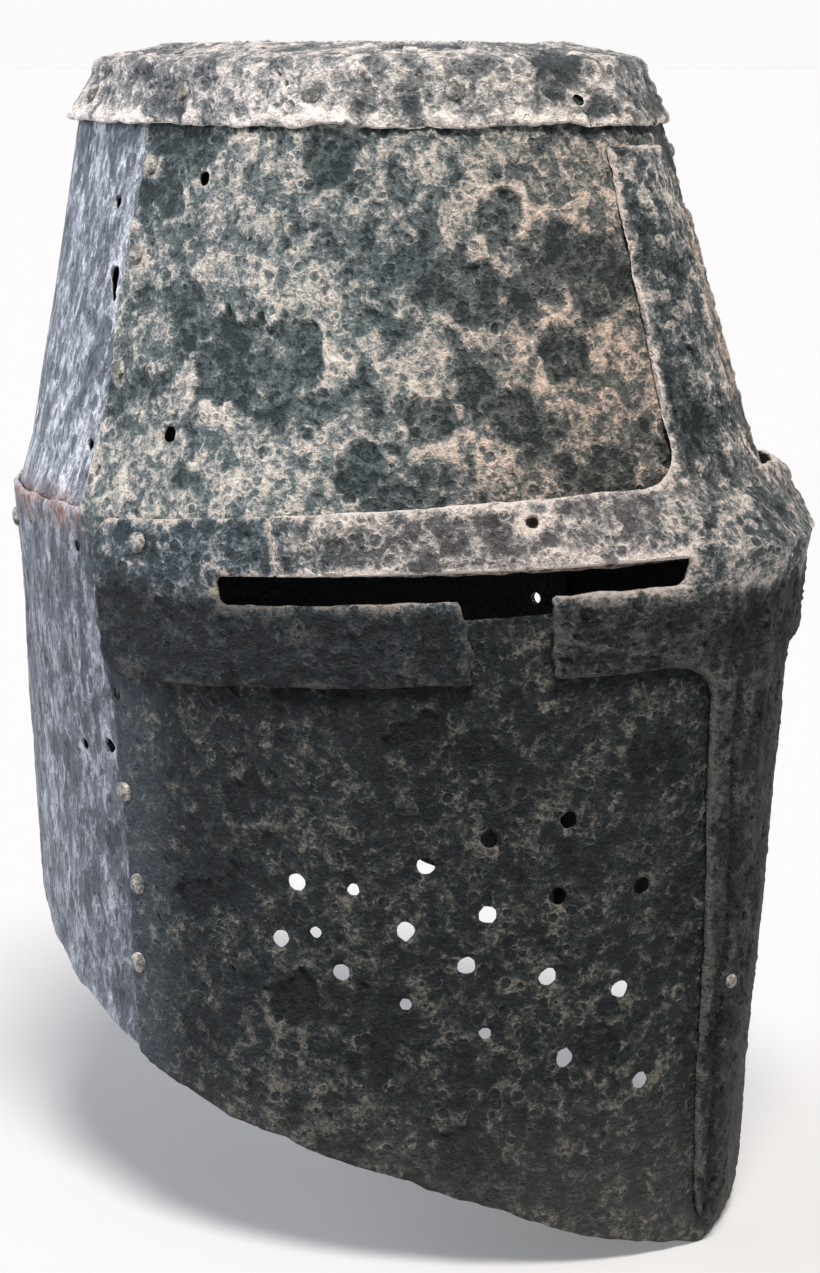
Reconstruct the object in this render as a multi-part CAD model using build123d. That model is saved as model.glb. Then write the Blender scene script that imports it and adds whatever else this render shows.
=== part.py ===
from build123d import *
import os
from math import atan2, cos, degrees, hypot, radians, sin, sqrt

# Great helm of riveted iron plates, in millimetres, wearer facing -Y, +Z up.
# Every wall follows a plan outline: two arcs that meet in a keel at the front and half an
# ellipse behind. A size is (half width, reach to the keel, reach to the back), measured from
# the line where the helm is widest, and a level is (height, size).

# ---- Driving dimensions ----
plate = 1.8                 # thickness of the wall plates and of the crown
lap = 0.15                  # clearance between lapping plates
cross_plate = 2.6           # thickness of the sight cross
crown_edge_height = 360.0   # outer corner of the crown
crown_rise = 4.5            # how far the middle of the crown stands above its corner
flange_foot = 341.0         # lower edge of the crown's turned-down flange
wall_top = 354.5            # upper edge of the skull plates, hidden under the flange
waist = 224.0               # height where the skull walls meet the face walls
skirt_foot = 205.0          # lower edge of the upper back plate, inside the lower one
brim_drop, brim_inset = 1.2, 1.7    # middle of the crown's rounded corner, from its outer face
edge_inset = 4.6            # inner end of that corner
middle_inset = 26.0         # edge of the crown's flat middle
beyond = 160.0              # half extent of the cutting blocks, past every wall

# Faces that the front plates are bedded on, from the crown down to the chin.
skull_levels = [
    (355.0, (70.1, 80.3, 107.6)),
    (flange_foot, (75.3, 88.5, 118.1)),
    (waist, (107.0, 125.0, 129.6)),
]
face_levels = [
    (waist, (110.8, 139.0, 131.9)),
    (0.0, (98.7, 120.6, 121.8)),
]
face_blank_top, face_blank_foot = 235.0, -10.0      # the face walls before they are trimmed

# Side outlines, as (y, z) with y measured from the widest line.
upper_front_edge = [(-160, 356), (38.5, 356), (37.5, 240), (36.5, 222), (34.5, 216.5),
                    (29.5, 212.3), (0, 212.6), (-160, 217.4)]
upper_back_lead = 24.0      # front edge of the upper back plate, inside the seam
lower_back_lead = 9.5       # front edge of the lower back plate, inside the seam
hem_join = 60.0             # y that the face plate's lower edge never reaches
lower_back_rim = 226.0      # its upper edge, outside the upper back plate
lower_front_edge = [(-160, 206.9), (31.5, 193.9), (27.8, 187), (24.4, 169), (23.2, 144),
                    (21.5, 112), (20.0, 30), (-160, -30)]
hem = [(-124, -0.8), (-90, 21), (-40, 39), (10, 54), (60, 72), (100, 91), (135, 98)]

# Sight cross. A climb is how much an edge rises for each millimetre towards the keel.
arm_top, arm_top_climb = 227.5, 0.092
sight_top, sight_top_climb = 212.0, 0.060
sight_foot, sight_foot_climb = 202.2, 0.062
arm_foot, arm_foot_climb = 179.0, 0.056
arm_end = 25.0              # y of the arms' rounded outer ends
arm_end_radius = 8.0
sight_end = -25.2           # y of the outer end of each eye slit
sight_end_radius = 2.5
sight_inner_x = 32.6        # half width of the metal between the two eye slits
top_edge_lift = 0.8         # how far the arms stand off the skull along their top edge
lip_lift = 2.9              # the same at the brow lip over the slit
cheek_lift = 1.3            # and at the upper edge of the lower half of the arms
foot_lift = 0.3             # and along the arms' lower edge
bar_top, bar_top_half = 334.5, 13.5
bar_brow, bar_brow_half = 262.0, 18.0
bar_waist_half = 19.0       # at the top of the arms
bar_nose, bar_nose_half = 175.0, 19.5
bar_chin, bar_chin_half = 20.0, 8.5
bar_tip_rise = 1.5          # how far the chin end is drawn out, by its half width
bar_brow_reach, bar_nose_reach = 125.0, 135.0   # of the bar's face, above and below the slits
brow_fillet = 13.0
nose_fillet = 12.0
fillet_overlap = 1.0        # how far a fillet's corner runs into the bar and the arm
sight_reach = 131.0         # of the bar's face at the height of the slits

# The right arm is broken: (y, z) run of the crack above the slit, and of the two ragged
# ends below it, with a lost strip between them.
crack = [(-43.6, 214.0), (-42.0, 223.0), (-35.0, 245.0)]
crack_gap = 0.4
fragment_end = [(-91.6, 175.0), (-91.6, 187.0), (-92.6, 194.0), (-91.2, 199.0), (-90.4, 209.8)]
lost_strip_end = [(-109.9, 175.0), (-109.8, 189.0), (-111.0, 212.5)]

# Rivets, as (turn, height): turn is degrees from the keel towards the wearer's right.
rivet_head_radius, rivet_head_height = 3.2, 1.7
rivet_shank_radius, rivet_clearance = 1.6, 0.05
rivet_tail_radius, rivet_tail_height = 2.5, 1.0
rivet_seat = 0.08           # clearance under each head and tail
arm_tail_seat = 0.6         # the same under the tails in the bend behind the arms
empty_hole_clearance = 0.4  # a hole whose rivet is lost has rusted wider by this much
seam_step = 2.2             # how much further in the skull plates' seam rivets are clenched
drill_length, cross_drill_length = 24.0, 40.0
small_rivet_scale = 0.7
crown_rivets = [(39, 350.5), (70, 350), (107, 350), (143, 349)]
rear_crown_rivet = (180, 349)
upper_seam_rivets = [(113, 328), (111, 301.5), (109, 267.5)]
lower_seam_rivets = [(101, 141), (99, 112.5), (99.5, 87.5)]
waist_rivets = [(142, 215), (161, 215), (180, 215), (199, 215), (218, 215)]
arm_end_rivets = [(92, 220.5)]
arm_rivets = [(61, 228)]
brow_rivets = [(33, 231)]
bar_upper_rivets = [(2.6, 307), (2.6, 286)]
bar_lower_rivets = [(1.6, 86)]
lining_rivets = [(28.5, 332)]

# Holes, as (turn, height, radius).
seam_holes_upper = [(107.5, 238, 2.1)]
seam_holes_lower = [(101.5, 171.5, 2.1)]
skull_lace_holes = [(96, 325, 2.6), (93, 251, 2.6)]
back_lace_holes = [(124, 316.5, 2.4), (115, 244, 2.2)]
keyhole = [(118.7, 295, 3.0), (118.0, 291.5, 2.2), (117.4, 288.5, 1.9)]
waist_holes = [(112.5, 214, 2.2), (130.5, 216.5, 1.6)]
cheek_holes = [(114, 151.5, 2.2), (106, 153.5, 2.5)]
crown_hole = [(12, 348.5, 2.3)]
breath_radius, small_breath_radius = 2.9, 2.1
breaths = [(27, 142), (38, 137), (47, 129), (67, 122), (16, 120), (28, 119), (38, 114),
           (50, 109), (70, 104), (41, 98.5), (60, 95), (29, 94), (18, 88), (26, 68), (14, 58)]
small_breaths = [(58, 121), (64, 107), (50, 86), (38, 77)]


# ---- Plan outlines and walls ----
def size_at(levels, height):
    """Size on straight walls drawn through the levels, carried on past either end."""
    pairs = list(zip(levels, levels[1:]))
    (high, top), (low, foot) = next((p for p in pairs if height >= p[1][0]), pairs[-1])
    share = (height - low) / (high - low)
    return tuple(b + (a - b) * share for a, b in zip(top, foot))


def arc_of(size, grow):
    """Centre offset, radius and keel reach of the front arcs, moved outwards by grow."""
    half_width, reach, _ = size
    radius = (half_width**2 + reach**2) / (2 * half_width)
    centre = radius - half_width
    return centre, radius + grow, sqrt((radius + grow) ** 2 - centre**2)


def outline(height, size, grow=0.0, climb=0.0):
    """Plan outline as a face, on a plane that rises by climb per millimetre to the keel."""
    centre, radius, keel = arc_of(size, grow)
    half_width, back = size[0] + grow, size[2] + grow
    half_angle = atan2(keel, centre) / 2
    shoulder = (radius * cos(half_angle) - centre, -radius * sin(half_angle))
    right = ThreePointArc((-half_width, 0), (-shoulder[0], shoulder[1]), (0, -keel))
    left = ThreePointArc((0, -keel), shoulder, (half_width, 0))
    rear = EllipticalCenterArc((0, 0), half_width, back, start_angle=0, arc_size=180)
    face = make_face([right, left, rear])
    return Plane(origin=(0, 0, height), x_dir=(1, 0, 0), z_dir=(0, climb, 1)) * face


def body(levels, grow=0.0):
    """Solid inside the walls drawn through the levels, moved outwards by grow."""
    faces = [outline(height, size, grow) for height, size in levels]
    return loft(faces, ruled=True)


def wall(levels, inner, thickness=plate):
    """Shell whose inner face stands outside the levels by inner."""
    return body(levels, inner + thickness) - body(levels, inner)


def side_region(points, both=True):
    """Block whose side view is the outline, across the whole helm or its right half."""
    face = make_face(Polyline(*points, close=True))
    return extrude(Plane.YZ * face, amount=beyond if both else -beyond, both=both)


def block_below(height):
    """Block past every wall, with its roof at a height."""
    return Pos(0, 0, height - beyond) * Box(2 * beyond, 2 * beyond, 2 * beyond)


def hem_block(front, rear):
    """Everything above the helm's lower edge between two y values."""
    (first_y, first_z), (last_y, _) = hem[0], hem[-1]
    foot, roof = face_blank_foot, face_blank_top
    edge = Spline(*hem, tangents=[(1, 0.75), (1, 0.1)])
    rest = Polyline(hem[-1], (last_y, roof), (-beyond, roof), (-beyond, first_z), (first_y, first_z))
    above = extrude(Plane.YZ * make_face([edge, rest]), amount=beyond, both=True)
    return above & side_region([(front, foot), (rear, foot), (rear, roof), (front, roof)])


# ---- Points, rivets and holes on a wall ----
def reach_of(size, turn, grow=0.0):
    """Distance from the upright axis to a plan outline, at a turn about that axis."""
    across, along = sin(radians(turn)), cos(radians(turn))
    if along >= 0:
        centre, radius, _ = arc_of(size, grow)
        return sqrt((abs(across) * centre) ** 2 - centre**2 + radius**2) - abs(across) * centre
    return 1 / hypot(across / (size[0] + grow), along / (size[2] + grow))


def wall_point(levels, turn, height, grow=0.0):
    """Point on a wall at a turn about the helm's upright axis."""
    reach = reach_of(size_at(levels, height), turn, grow)
    return Vector(-sin(radians(turn)) * reach, -cos(radians(turn)) * reach, height)


def outward(point_at, turn, height):
    """Plane on a surface, given as a function of turn and height, facing outwards."""
    point = point_at(turn, height)
    sideways = point_at(turn + 0.5, height) - point_at(turn - 0.5, height)
    upwards = point_at(turn, height + 1) - point_at(turn, height - 1)
    return Plane(origin=point, z_dir=upwards.cross(sideways))


def on_wall(levels, turn, height):
    """Location on a wall with its z axis along the wall's outward normal."""
    return outward(lambda t, h: wall_point(levels, t, h), turn, height).location


def drill(levels, holes):
    """Cutters for round holes through a wall, each (turn, height, radius)."""
    return [on_wall(levels, turn, height) * Cylinder(radius, drill_length)
            for turn, height, radius in holes]


def shank_holes(levels, rivets, scale=1.0):
    """Cutters for rivets that have no radius of their own."""
    radius = rivet_shank_radius * scale + rivet_clearance
    return drill(levels, [(turn, height, radius) for turn, height in rivets])


def dome(radius, height):
    """Spherical cap standing on the ground plane."""
    ball = (radius**2 + height**2) / (2 * height)
    return Pos(0, 0, height - ball) * Sphere(ball) & Pos(0, 0, ball) * Box(4 * ball, 4 * ball, 2 * ball)


def rivet(levels, turn, height, outer, inner, scale=1.0):
    """Domed head on the outer face, clenched tail on the inner one, and the shank between."""
    head = Pos(0, 0, outer + rivet_seat) * dome(rivet_head_radius * scale, rivet_head_height * scale)
    tail = dome(rivet_tail_radius * scale, rivet_tail_height * scale)
    tail = Pos(0, 0, inner - rivet_seat) * Rot(180, 0, 0) * tail
    length = outer - inner + 4 * rivet_seat
    shank = Pos(0, 0, (outer + inner) / 2) * Cylinder(rivet_shank_radius * scale, length)
    return on_wall(levels, turn, height) * (head + shank + tail)


def rivets(levels, places, outer, inner, scale=1.0):
    """Group of separate rivets."""
    return [rivet(levels, turn, height, outer, inner, scale) for turn, height in places]


def mirrored(places):
    """The same places on the wearer's left."""
    return [(-place[0], *place[1:]) for place in places]


def both_sides(places):
    """Places on the right followed by the same places on the left."""
    return places + mirrored(places)


def minus(solid, cutters):
    """Solid with all the cutters taken away."""
    for cutter in cutters:
        solid = solid - cutter
    return solid


# ---- Levels of each plate's inner face ----
def lapped(height, levels, grow):
    """Level moved outwards by grow all round."""
    return height, tuple(value + grow for value in size_at(levels, height))


# The back of the skull turns out at its foot to lie inside the lower back plate.
skirt_in = -plate - lap
upper_back_levels = [
    *skull_levels[:2],
    (240.0, size_at(skull_levels, 240.0)),
    lapped(lower_back_rim, face_levels, skirt_in),
    lapped(skirt_foot - 2, face_levels, skirt_in),
]


def flared(height):
    """Upper front plate: its sides spring out over the lower back plate, its keel does not."""
    skull, face = size_at(skull_levels, height), size_at(face_levels, height)
    return height, (face[0], skull[1], face[2])


upper_front_levels = [
    *skull_levels[:2],
    (250.0, size_at(skull_levels, 250.0)),
    flared(lower_back_rim),
    flared(skirt_foot),
]
face_blank_levels = [lapped(face_blank_top, face_levels, 0), lapped(face_blank_foot, face_levels, 0)]
front_outer = lap + plate   # outer face of both front plates, from the face they bed on
cross_outer = front_outer + lap + cross_plate   # and of the cross, where nothing lifts it


# ---- Crown ----
def crown_sections(inset, drop):
    """Crown surface from the flange's foot up to the flat middle, moved in by inset."""
    flange = front_outer + lap + plate - inset
    foot_height = flange_foot - drop
    foot = outline(foot_height, size_at(skull_levels[:2], foot_height), flange)
    neck = outline(skull_levels[0][0], skull_levels[0][1], flange)
    brim = outline(crown_edge_height - brim_drop - drop, skull_levels[0][1], flange - brim_inset)
    edge = outline(crown_edge_height - drop, skull_levels[0][1], flange - edge_inset)
    top = outline(crown_edge_height + crown_rise - drop, skull_levels[0][1], flange - middle_inset)
    return [foot, neck, brim, edge, top]


def make_top_plate():
    """Flat crown with a flange turned down over the skull plates."""
    shell = loft(crown_sections(0, 0), ruled=True) - loft(crown_sections(plate, plate), ruled=True)
    cutters = shank_holes(skull_levels, both_sides(crown_rivets) + [rear_crown_rivet])
    return minus(shell, cutters + drill(skull_levels, crown_hole))


# ---- Wall plates ----
def make_upper_front_plate():
    """Keeled skull plate from the crown down to the brow."""
    shell = wall(upper_front_levels, lap)
    piece = shell & side_region(upper_front_edge)
    piece = piece & block_below(wall_top)
    front_crown = [place for place in both_sides(crown_rivets) if abs(place[0]) < 120]
    cutters = shank_holes(skull_levels, front_crown)
    cutters += shank_holes(upper_front_levels, both_sides(upper_seam_rivets))
    cutters += shank_holes(upper_front_levels, both_sides(lining_rivets), small_rivet_scale)
    cutters += cross_drill(both_sides(arm_end_rivets + arm_rivets) + mirrored(brow_rivets))
    cutters += cross_drill(bar_upper_rivets, small_rivet_scale)
    cutters += cross_drill(brow_rivets, 1.0, empty_hole_clearance)
    holes = both_sides(seam_holes_upper + skull_lace_holes)
    return minus(piece, cutters + drill(upper_front_levels, holes))


def make_upper_back_plate():
    """Rear skull plate, lapped by the front plate at its sides and by the lower one at its foot."""
    shell = wall(upper_back_levels, -plate)
    piece = shell & side_region([(upper_back_lead, skirt_foot), (beyond, skirt_foot),
                                 (beyond, wall_top), (upper_back_lead, wall_top)])
    rear_crown = [place for place in both_sides(crown_rivets) if abs(place[0]) > 100]
    cutters = shank_holes(skull_levels, rear_crown + [rear_crown_rivet])
    cutters += shank_holes(upper_front_levels, both_sides(upper_seam_rivets))
    cutters += shank_holes(face_levels, waist_rivets)
    cutters += drill(upper_back_levels, both_sides(back_lace_holes + keyhole))
    cutters += drill(upper_front_levels, both_sides(seam_holes_upper))
    return minus(piece, cutters + drill(face_levels, both_sides(waist_holes)))


def make_lower_front_plate():
    """Keeled face plate under the eye slits, with the breathing holes."""
    shell = wall(face_blank_levels, lap)
    piece = shell & side_region(lower_front_edge) & hem_block(-beyond, hem_join)
    holes = [(turn, height, breath_radius) for turn, height in breaths]
    holes += [(turn, height, small_breath_radius) for turn, height in small_breaths]
    holes += seam_holes_lower
    cutters = shank_holes(face_levels, both_sides(lower_seam_rivets))
    cutters += cross_drill(bar_lower_rivets, small_rivet_scale)
    return minus(piece, cutters + drill(face_levels, both_sides(holes)))


def make_lower_back_plate():
    """Rear wall under the waist; its rim laps outside the upper back plate."""
    shell = wall(face_blank_levels, -plate)
    piece = shell & hem_block(lower_back_lead, beyond) & block_below(lower_back_rim)
    cutters = shank_holes(face_levels, both_sides(lower_seam_rivets) + waist_rivets)
    holes = both_sides(waist_holes + cheek_holes + seam_holes_lower)
    return minus(piece, cutters + drill(face_levels, holes))


# ---- Sight cross ----
def tilted(height, climb, levels, lift):
    """Section of the cross along a climbing edge, lifted off the plate that it lies on."""
    side = size_at(levels, height)
    keel = size_at(levels, height + climb * side[1])[1] * hypot(1, climb)
    return height, (side[0], keel, side[2]), lift, climb


# Over the chin, out round the slit, and in again to the skull.
cross_sections = [
    (0.0, size_at(face_levels, 0.0), 0.0, 0.0),
    tilted(arm_foot, arm_foot_climb, face_levels, foot_lift),
    tilted(sight_foot, sight_foot_climb, face_levels, cheek_lift),
    tilted(sight_top, sight_top_climb, face_levels, lip_lift),
    tilted(arm_top, arm_top_climb, upper_front_levels, top_edge_lift),
    (262.0, size_at(upper_front_levels, 262.0), 0.0, 0.0),
    (flange_foot, size_at(skull_levels, flange_foot), 0.0, 0.0),
]


def cross_body(grow):
    """Solid inside the cross."""
    faces = [outline(height, size, lift + grow, climb)
             for height, size, lift, climb in cross_sections]
    return loft(faces, ruled=True)


def cross_point(turn, height):
    """Point on the outer face of the cross, between the two sections above and below it."""
    line = []
    for level, size, lift, climb in cross_sections:
        reach = reach_of(size, turn, lift + cross_outer)
        line.append((level + climb * cos(radians(turn)) * reach, reach))
    (low, near), (high, far) = next(
        pair for pair in zip(line, line[1:]) if height <= pair[1][0])
    reach = near + (far - near) * (height - low) / (high - low)
    return Vector(-sin(radians(turn)) * reach, -cos(radians(turn)) * reach, height)


def cross_drill(places, scale=1.0, clearance=rivet_clearance):
    """Cutters for rivets set square to the face of the cross."""
    radius = rivet_shank_radius * scale + clearance
    return [outward(cross_point, *place).location * Cylinder(radius, cross_drill_length)
            for place in places]


def inside_wall(levels, plane, grow):
    """Depth under a plane's origin at which its normal comes out of a wall's inner face."""
    first_step, steps = 8.0, 24
    depth, step = 0.0, first_step
    for _ in range(steps):
        point = plane.origin - plane.z_dir * (depth + step)
        turn = degrees(atan2(-point.X, -point.Y))
        if hypot(point.X, point.Y) > reach_of(size_at(levels, point.Z), turn, grow):
            depth += step
        else:
            step /= 2
    return depth


def cross_rivet(levels, turn, height, scale=1.0):
    """Rivet with its head on the cross and its tail inside the plate behind."""
    plane = outward(cross_point, turn, height)
    depth = inside_wall(levels, plane, lap)
    end = plane.origin - plane.z_dir * depth
    behind = on_wall(levels, degrees(atan2(-end.X, -end.Y)), end.Z)
    head = Pos(0, 0, rivet_seat) * dome(rivet_head_radius * scale, rivet_head_height * scale)
    length = depth + 2 * arm_tail_seat
    shank = Pos(0, 0, -depth / 2 - arm_tail_seat / 2) * Cylinder(rivet_shank_radius * scale, length)
    tail = Rot(180, 0, 0) * dome(rivet_tail_radius * scale, rivet_tail_height * scale)
    tail = behind * Pos(0, 0, lap - arm_tail_seat) * tail
    return plane.location * (head + shank) + tail


def cross_rivets(levels, places, scale=1.0):
    """Group of rivets through the cross."""
    return [cross_rivet(levels, turn, height, scale) for turn, height in places]


def edge_point(height, climb, y):
    """Point of the side view on a climbing edge."""
    return y, height - climb * y


def arm_region():
    """Both arms: a band between two climbing edges, with rounded outer ends."""
    corners = [
        edge_point(arm_top, arm_top_climb, -beyond), edge_point(arm_top, arm_top_climb, arm_end),
        edge_point(arm_foot, arm_foot_climb, arm_end), edge_point(arm_foot, arm_foot_climb, -beyond),
    ]
    face = make_face(Polyline(*corners, close=True))
    face = fillet(face.vertices().group_by(Axis.X)[-1], arm_end_radius)
    return extrude(Plane.YZ * face, amount=beyond, both=True)


def web(x, z, radius, up):
    """Concave corner between the bar and an arm, for both sides of the bar."""
    middle, side = radius / 2 - fillet_overlap, radius + 2 * fillet_overlap
    square = Pos(x + middle, z + up * middle) * Rectangle(side, side)
    corner = square - Pos(x + radius, z + up * radius) * Circle(radius)
    return corner + mirror(corner, Plane.YZ)


def bar_region():
    """Upright bar in the front view, with fillets where it meets the arms."""
    half = [(0, bar_top), (bar_top_half, bar_top), (bar_brow_half, bar_brow),
            (bar_waist_half, arm_top), (bar_nose_half, bar_nose), (bar_chin_half, bar_chin)]
    tip = (0, bar_chin - bar_chin_half * bar_tip_rise)
    right = Polyline(*half)
    left = Polyline(*[(-x, z) for x, z in half])
    foot = ThreePointArc(half[-1], tip, (-half[-1][0], half[-1][1]))
    brow = arm_top + arm_top_climb * bar_brow_reach
    nose = arm_foot + arm_foot_climb * bar_nose_reach
    front = make_face([right, left, foot])
    front = front + web(bar_brow_half, brow, brow_fillet, 1) + web(bar_nose_half, nose, nose_fillet, -1)
    return extrude(Plane.XZ * front, amount=beyond)


def slit_cutter():
    """Right eye slit: a climbing band in the side view, rounded at both of its ends."""
    corners = [
        edge_point(sight_top, sight_top_climb, -beyond),
        edge_point(sight_top, sight_top_climb, sight_end),
        edge_point(sight_foot, sight_foot_climb, sight_end),
        edge_point(sight_foot, sight_foot_climb, -beyond),
    ]
    face = make_face(Polyline(*corners, close=True))
    face = fillet(face.vertices().group_by(Axis.X)[-1], sight_end_radius)
    band = extrude(Plane.YZ * face, amount=-beyond)
    top = sight_top + sight_top_climb * sight_reach
    foot = sight_foot + sight_foot_climb * sight_reach
    radius, flare = (top - foot) / 2, 40.0
    inner = (-sight_inner_x - radius, (top + foot) / 2)
    mouth = make_face(Polyline((inner[0], top), (inner[0], foot), (-beyond, foot - flare),
                               (-beyond, top + flare), close=True))
    mouth = mouth + Pos(*inner) * Circle(radius)
    return band & extrude(Plane.XZ * mouth, amount=beyond)


def make_cross_blank():
    """Whole cross before the right arm broke, both eye slits cut."""
    shell = cross_body(cross_outer) - cross_body(cross_outer - cross_plate)
    blank = shell & (arm_region() + bar_region())
    slit = slit_cutter()
    return blank - slit - mirror(slit, Plane.YZ)


def broken_off(gap, lower_end):
    """Right half space outside the crack and outside one of the two ragged lower ends."""
    upper = [(y - gap, z) for y, z in crack]
    in_slit = (upper[0][0], lower_end[-1][1])
    rear, floor, roof = 60, 160, 260
    points = [(rear, floor), (lower_end[0][0], floor), *lower_end, in_slit, *upper, (rear, roof)]
    return side_region(points, both=False)


def make_sight_cross(blank):
    """Bar, left arm and what is left of the right arm."""
    piece = blank - broken_off(crack_gap, lost_strip_end)
    cutters = cross_drill(both_sides(arm_rivets) + mirrored(brow_rivets + arm_end_rivets))
    cutters += cross_drill(bar_upper_rivets + bar_lower_rivets, small_rivet_scale)
    return minus(piece, cutters + cross_drill(brow_rivets, 1.0, empty_hole_clearance))


def make_right_arm_end(blank):
    """Broken-off outer end of the right arm, round the outer end of the eye slit."""
    return minus(blank & broken_off(0.0, fragment_end), cross_drill(arm_end_rivets))


# ---- Rivet groups: each is domed outside the outermost plate and clenched inside ----
seam_inner = -plate
flange_outer = front_outer + lap + plate
seam_places = {
    "upper_right_seam_rivets": (upper_front_levels, upper_seam_rivets, seam_inner - seam_step),
    "upper_left_seam_rivets": (upper_front_levels, mirrored(upper_seam_rivets), seam_inner - seam_step),
    "lower_right_seam_rivets": (face_levels, lower_seam_rivets, seam_inner),
    "lower_left_seam_rivets": (face_levels, mirrored(lower_seam_rivets), seam_inner),
}


def make_rivet_groups():
    """Every group of like rivets, by the name of its node."""
    groups = {}
    for name, (levels, places, inner) in seam_places.items():
        groups[name] = rivets(levels, places, front_outer, inner)
    crown_places = both_sides(crown_rivets) + [rear_crown_rivet]
    groups["crown_rivets"] = rivets(skull_levels, crown_places, flange_outer, seam_inner)
    groups["waist_rivets"] = rivets(face_levels, waist_rivets, 0.0, skirt_in - plate)
    left_places = mirrored(arm_rivets + brow_rivets + arm_end_rivets)
    groups["left_arm_rivets"] = cross_rivets(upper_front_levels, left_places)
    groups["right_arm_rivet"] = cross_rivets(upper_front_levels, arm_rivets)
    groups["arm_end_rivet"] = cross_rivets(upper_front_levels, arm_end_rivets)
    small = small_rivet_scale
    groups["bar_upper_rivets"] = cross_rivets(upper_front_levels, bar_upper_rivets, small)
    groups["bar_lower_rivet"] = cross_rivets(face_levels, bar_lower_rivets, small)
    groups["lining_rivets"] = rivets(
        upper_front_levels, both_sides(lining_rivets), front_outer, lap, small)
    return groups


# ---- Assembly ----
def main():
    """Writes every node, moved so that the origin is under the middle of the whole helm."""
    blank = make_cross_blank()
    pieces = {
        "top_plate": make_top_plate(),
        "upper_front_plate": make_upper_front_plate(),
        "upper_back_plate": make_upper_back_plate(),
        "lower_front_plate": make_lower_front_plate(),
        "lower_back_plate": make_lower_back_plate(),
        "sight_cross": make_sight_cross(blank),
        "right_arm_end": make_right_arm_end(blank),
    }
    pieces |= {name: Compound(group) for name, group in make_rivet_groups().items()}
    whole = Compound([solid for piece in pieces.values() for solid in piece.solids()])
    box = whole.bounding_box()
    shift = Pos(0, -box.center().Y, -box.min.Z)
    print("moved by", -box.center().Y, -box.min.Z, "size", box.size)
    os.makedirs("parts", exist_ok=True)
    for name, piece in pieces.items():
        export_step(Compound([shift * solid for solid in piece.solids()]), f"parts/{name}.step")


main()
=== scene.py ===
from functools import partial
from math import cos, pi, radians, sin
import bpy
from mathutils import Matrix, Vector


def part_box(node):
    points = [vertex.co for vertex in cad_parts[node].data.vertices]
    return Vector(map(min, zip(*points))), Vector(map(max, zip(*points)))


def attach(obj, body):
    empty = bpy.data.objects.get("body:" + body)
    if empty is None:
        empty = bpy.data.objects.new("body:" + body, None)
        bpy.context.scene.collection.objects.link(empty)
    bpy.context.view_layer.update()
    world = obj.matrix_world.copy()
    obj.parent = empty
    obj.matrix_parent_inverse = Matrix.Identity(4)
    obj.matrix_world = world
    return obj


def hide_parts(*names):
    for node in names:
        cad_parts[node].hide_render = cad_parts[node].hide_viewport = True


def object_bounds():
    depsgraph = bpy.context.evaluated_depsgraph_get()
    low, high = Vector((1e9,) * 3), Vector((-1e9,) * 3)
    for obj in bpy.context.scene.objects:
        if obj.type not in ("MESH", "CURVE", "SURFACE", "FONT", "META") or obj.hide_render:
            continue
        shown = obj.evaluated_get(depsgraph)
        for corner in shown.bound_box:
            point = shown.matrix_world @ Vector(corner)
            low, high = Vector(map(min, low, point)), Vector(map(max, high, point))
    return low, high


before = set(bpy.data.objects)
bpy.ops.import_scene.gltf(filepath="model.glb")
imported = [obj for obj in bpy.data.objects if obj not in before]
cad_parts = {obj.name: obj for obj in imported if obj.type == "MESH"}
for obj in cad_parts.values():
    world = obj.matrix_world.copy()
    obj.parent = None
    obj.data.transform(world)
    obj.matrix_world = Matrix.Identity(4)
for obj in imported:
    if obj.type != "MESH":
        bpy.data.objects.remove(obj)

from types import SimpleNamespace

import bpy
import numpy as np
from bpy.props import FloatProperty, FloatVectorProperty, PointerProperty
from mathutils import Matrix, Vector

bl_info = {
    "name": "Great helm",
    "version": (1, 0, 0),
    "blender": (4, 5, 0),
    "location": "3D View > Sidebar > Helm",
    "description": "Corroded iron skins for a riveted great helm",
    "category": "Object",
}

cad_low, cad_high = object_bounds()

# Lengths in the shapes below are millimetres in the drawing frame of the helm: y = 0 where it
# is widest, the wearer facing -Y, +Z up. A turn is measured about the upright axis, from the
# keel towards the wearer's right. A size is (half width, reach to the keel, reach to the back).
MM = 0.001
CROWN_TOP = 364.5           # height of the flat middle of the crown
CROWN_BACK = 122.0          # reach of the flange's foot behind the widest line
SHIFT = np.array([
    0.0,
    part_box("top_plate")[1].y / MM - CROWN_BACK,
    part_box("top_plate")[1].z / MM - CROWN_TOP,
])

PLATE, CROSS = 1.8, 2.6     # thickness of the walls and of the cross
LAP = 0.15                  # clearance between lapping plates
FLANGE_FOOT = 341.0         # lower edge of the crown's flange
WAIST = 224.0               # where the skull walls meet the face walls
WALL_TOP = 354.5            # upper edge of the skull plates, under the flange
BEND_FOOT = 355.0           # where the flange starts to bend over into the crown
HOLLOW_LIMIT = 1.3          # deepest hollow that a wall takes
SKIRT_FOOT = 205.0          # lower edge of the upper back plate
RIM = 226.0                 # upper edge of the lower back plate
SKULL = [(BEND_FOOT, (70.1, 80.3, 107.6)), (FLANGE_FOOT, (75.3, 88.5, 118.1)), (WAIST, (107.0, 125.0, 129.6))]
FACE = [(WAIST, (110.8, 139.0, 131.9)), (0.0, (98.7, 120.6, 121.8))]

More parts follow.
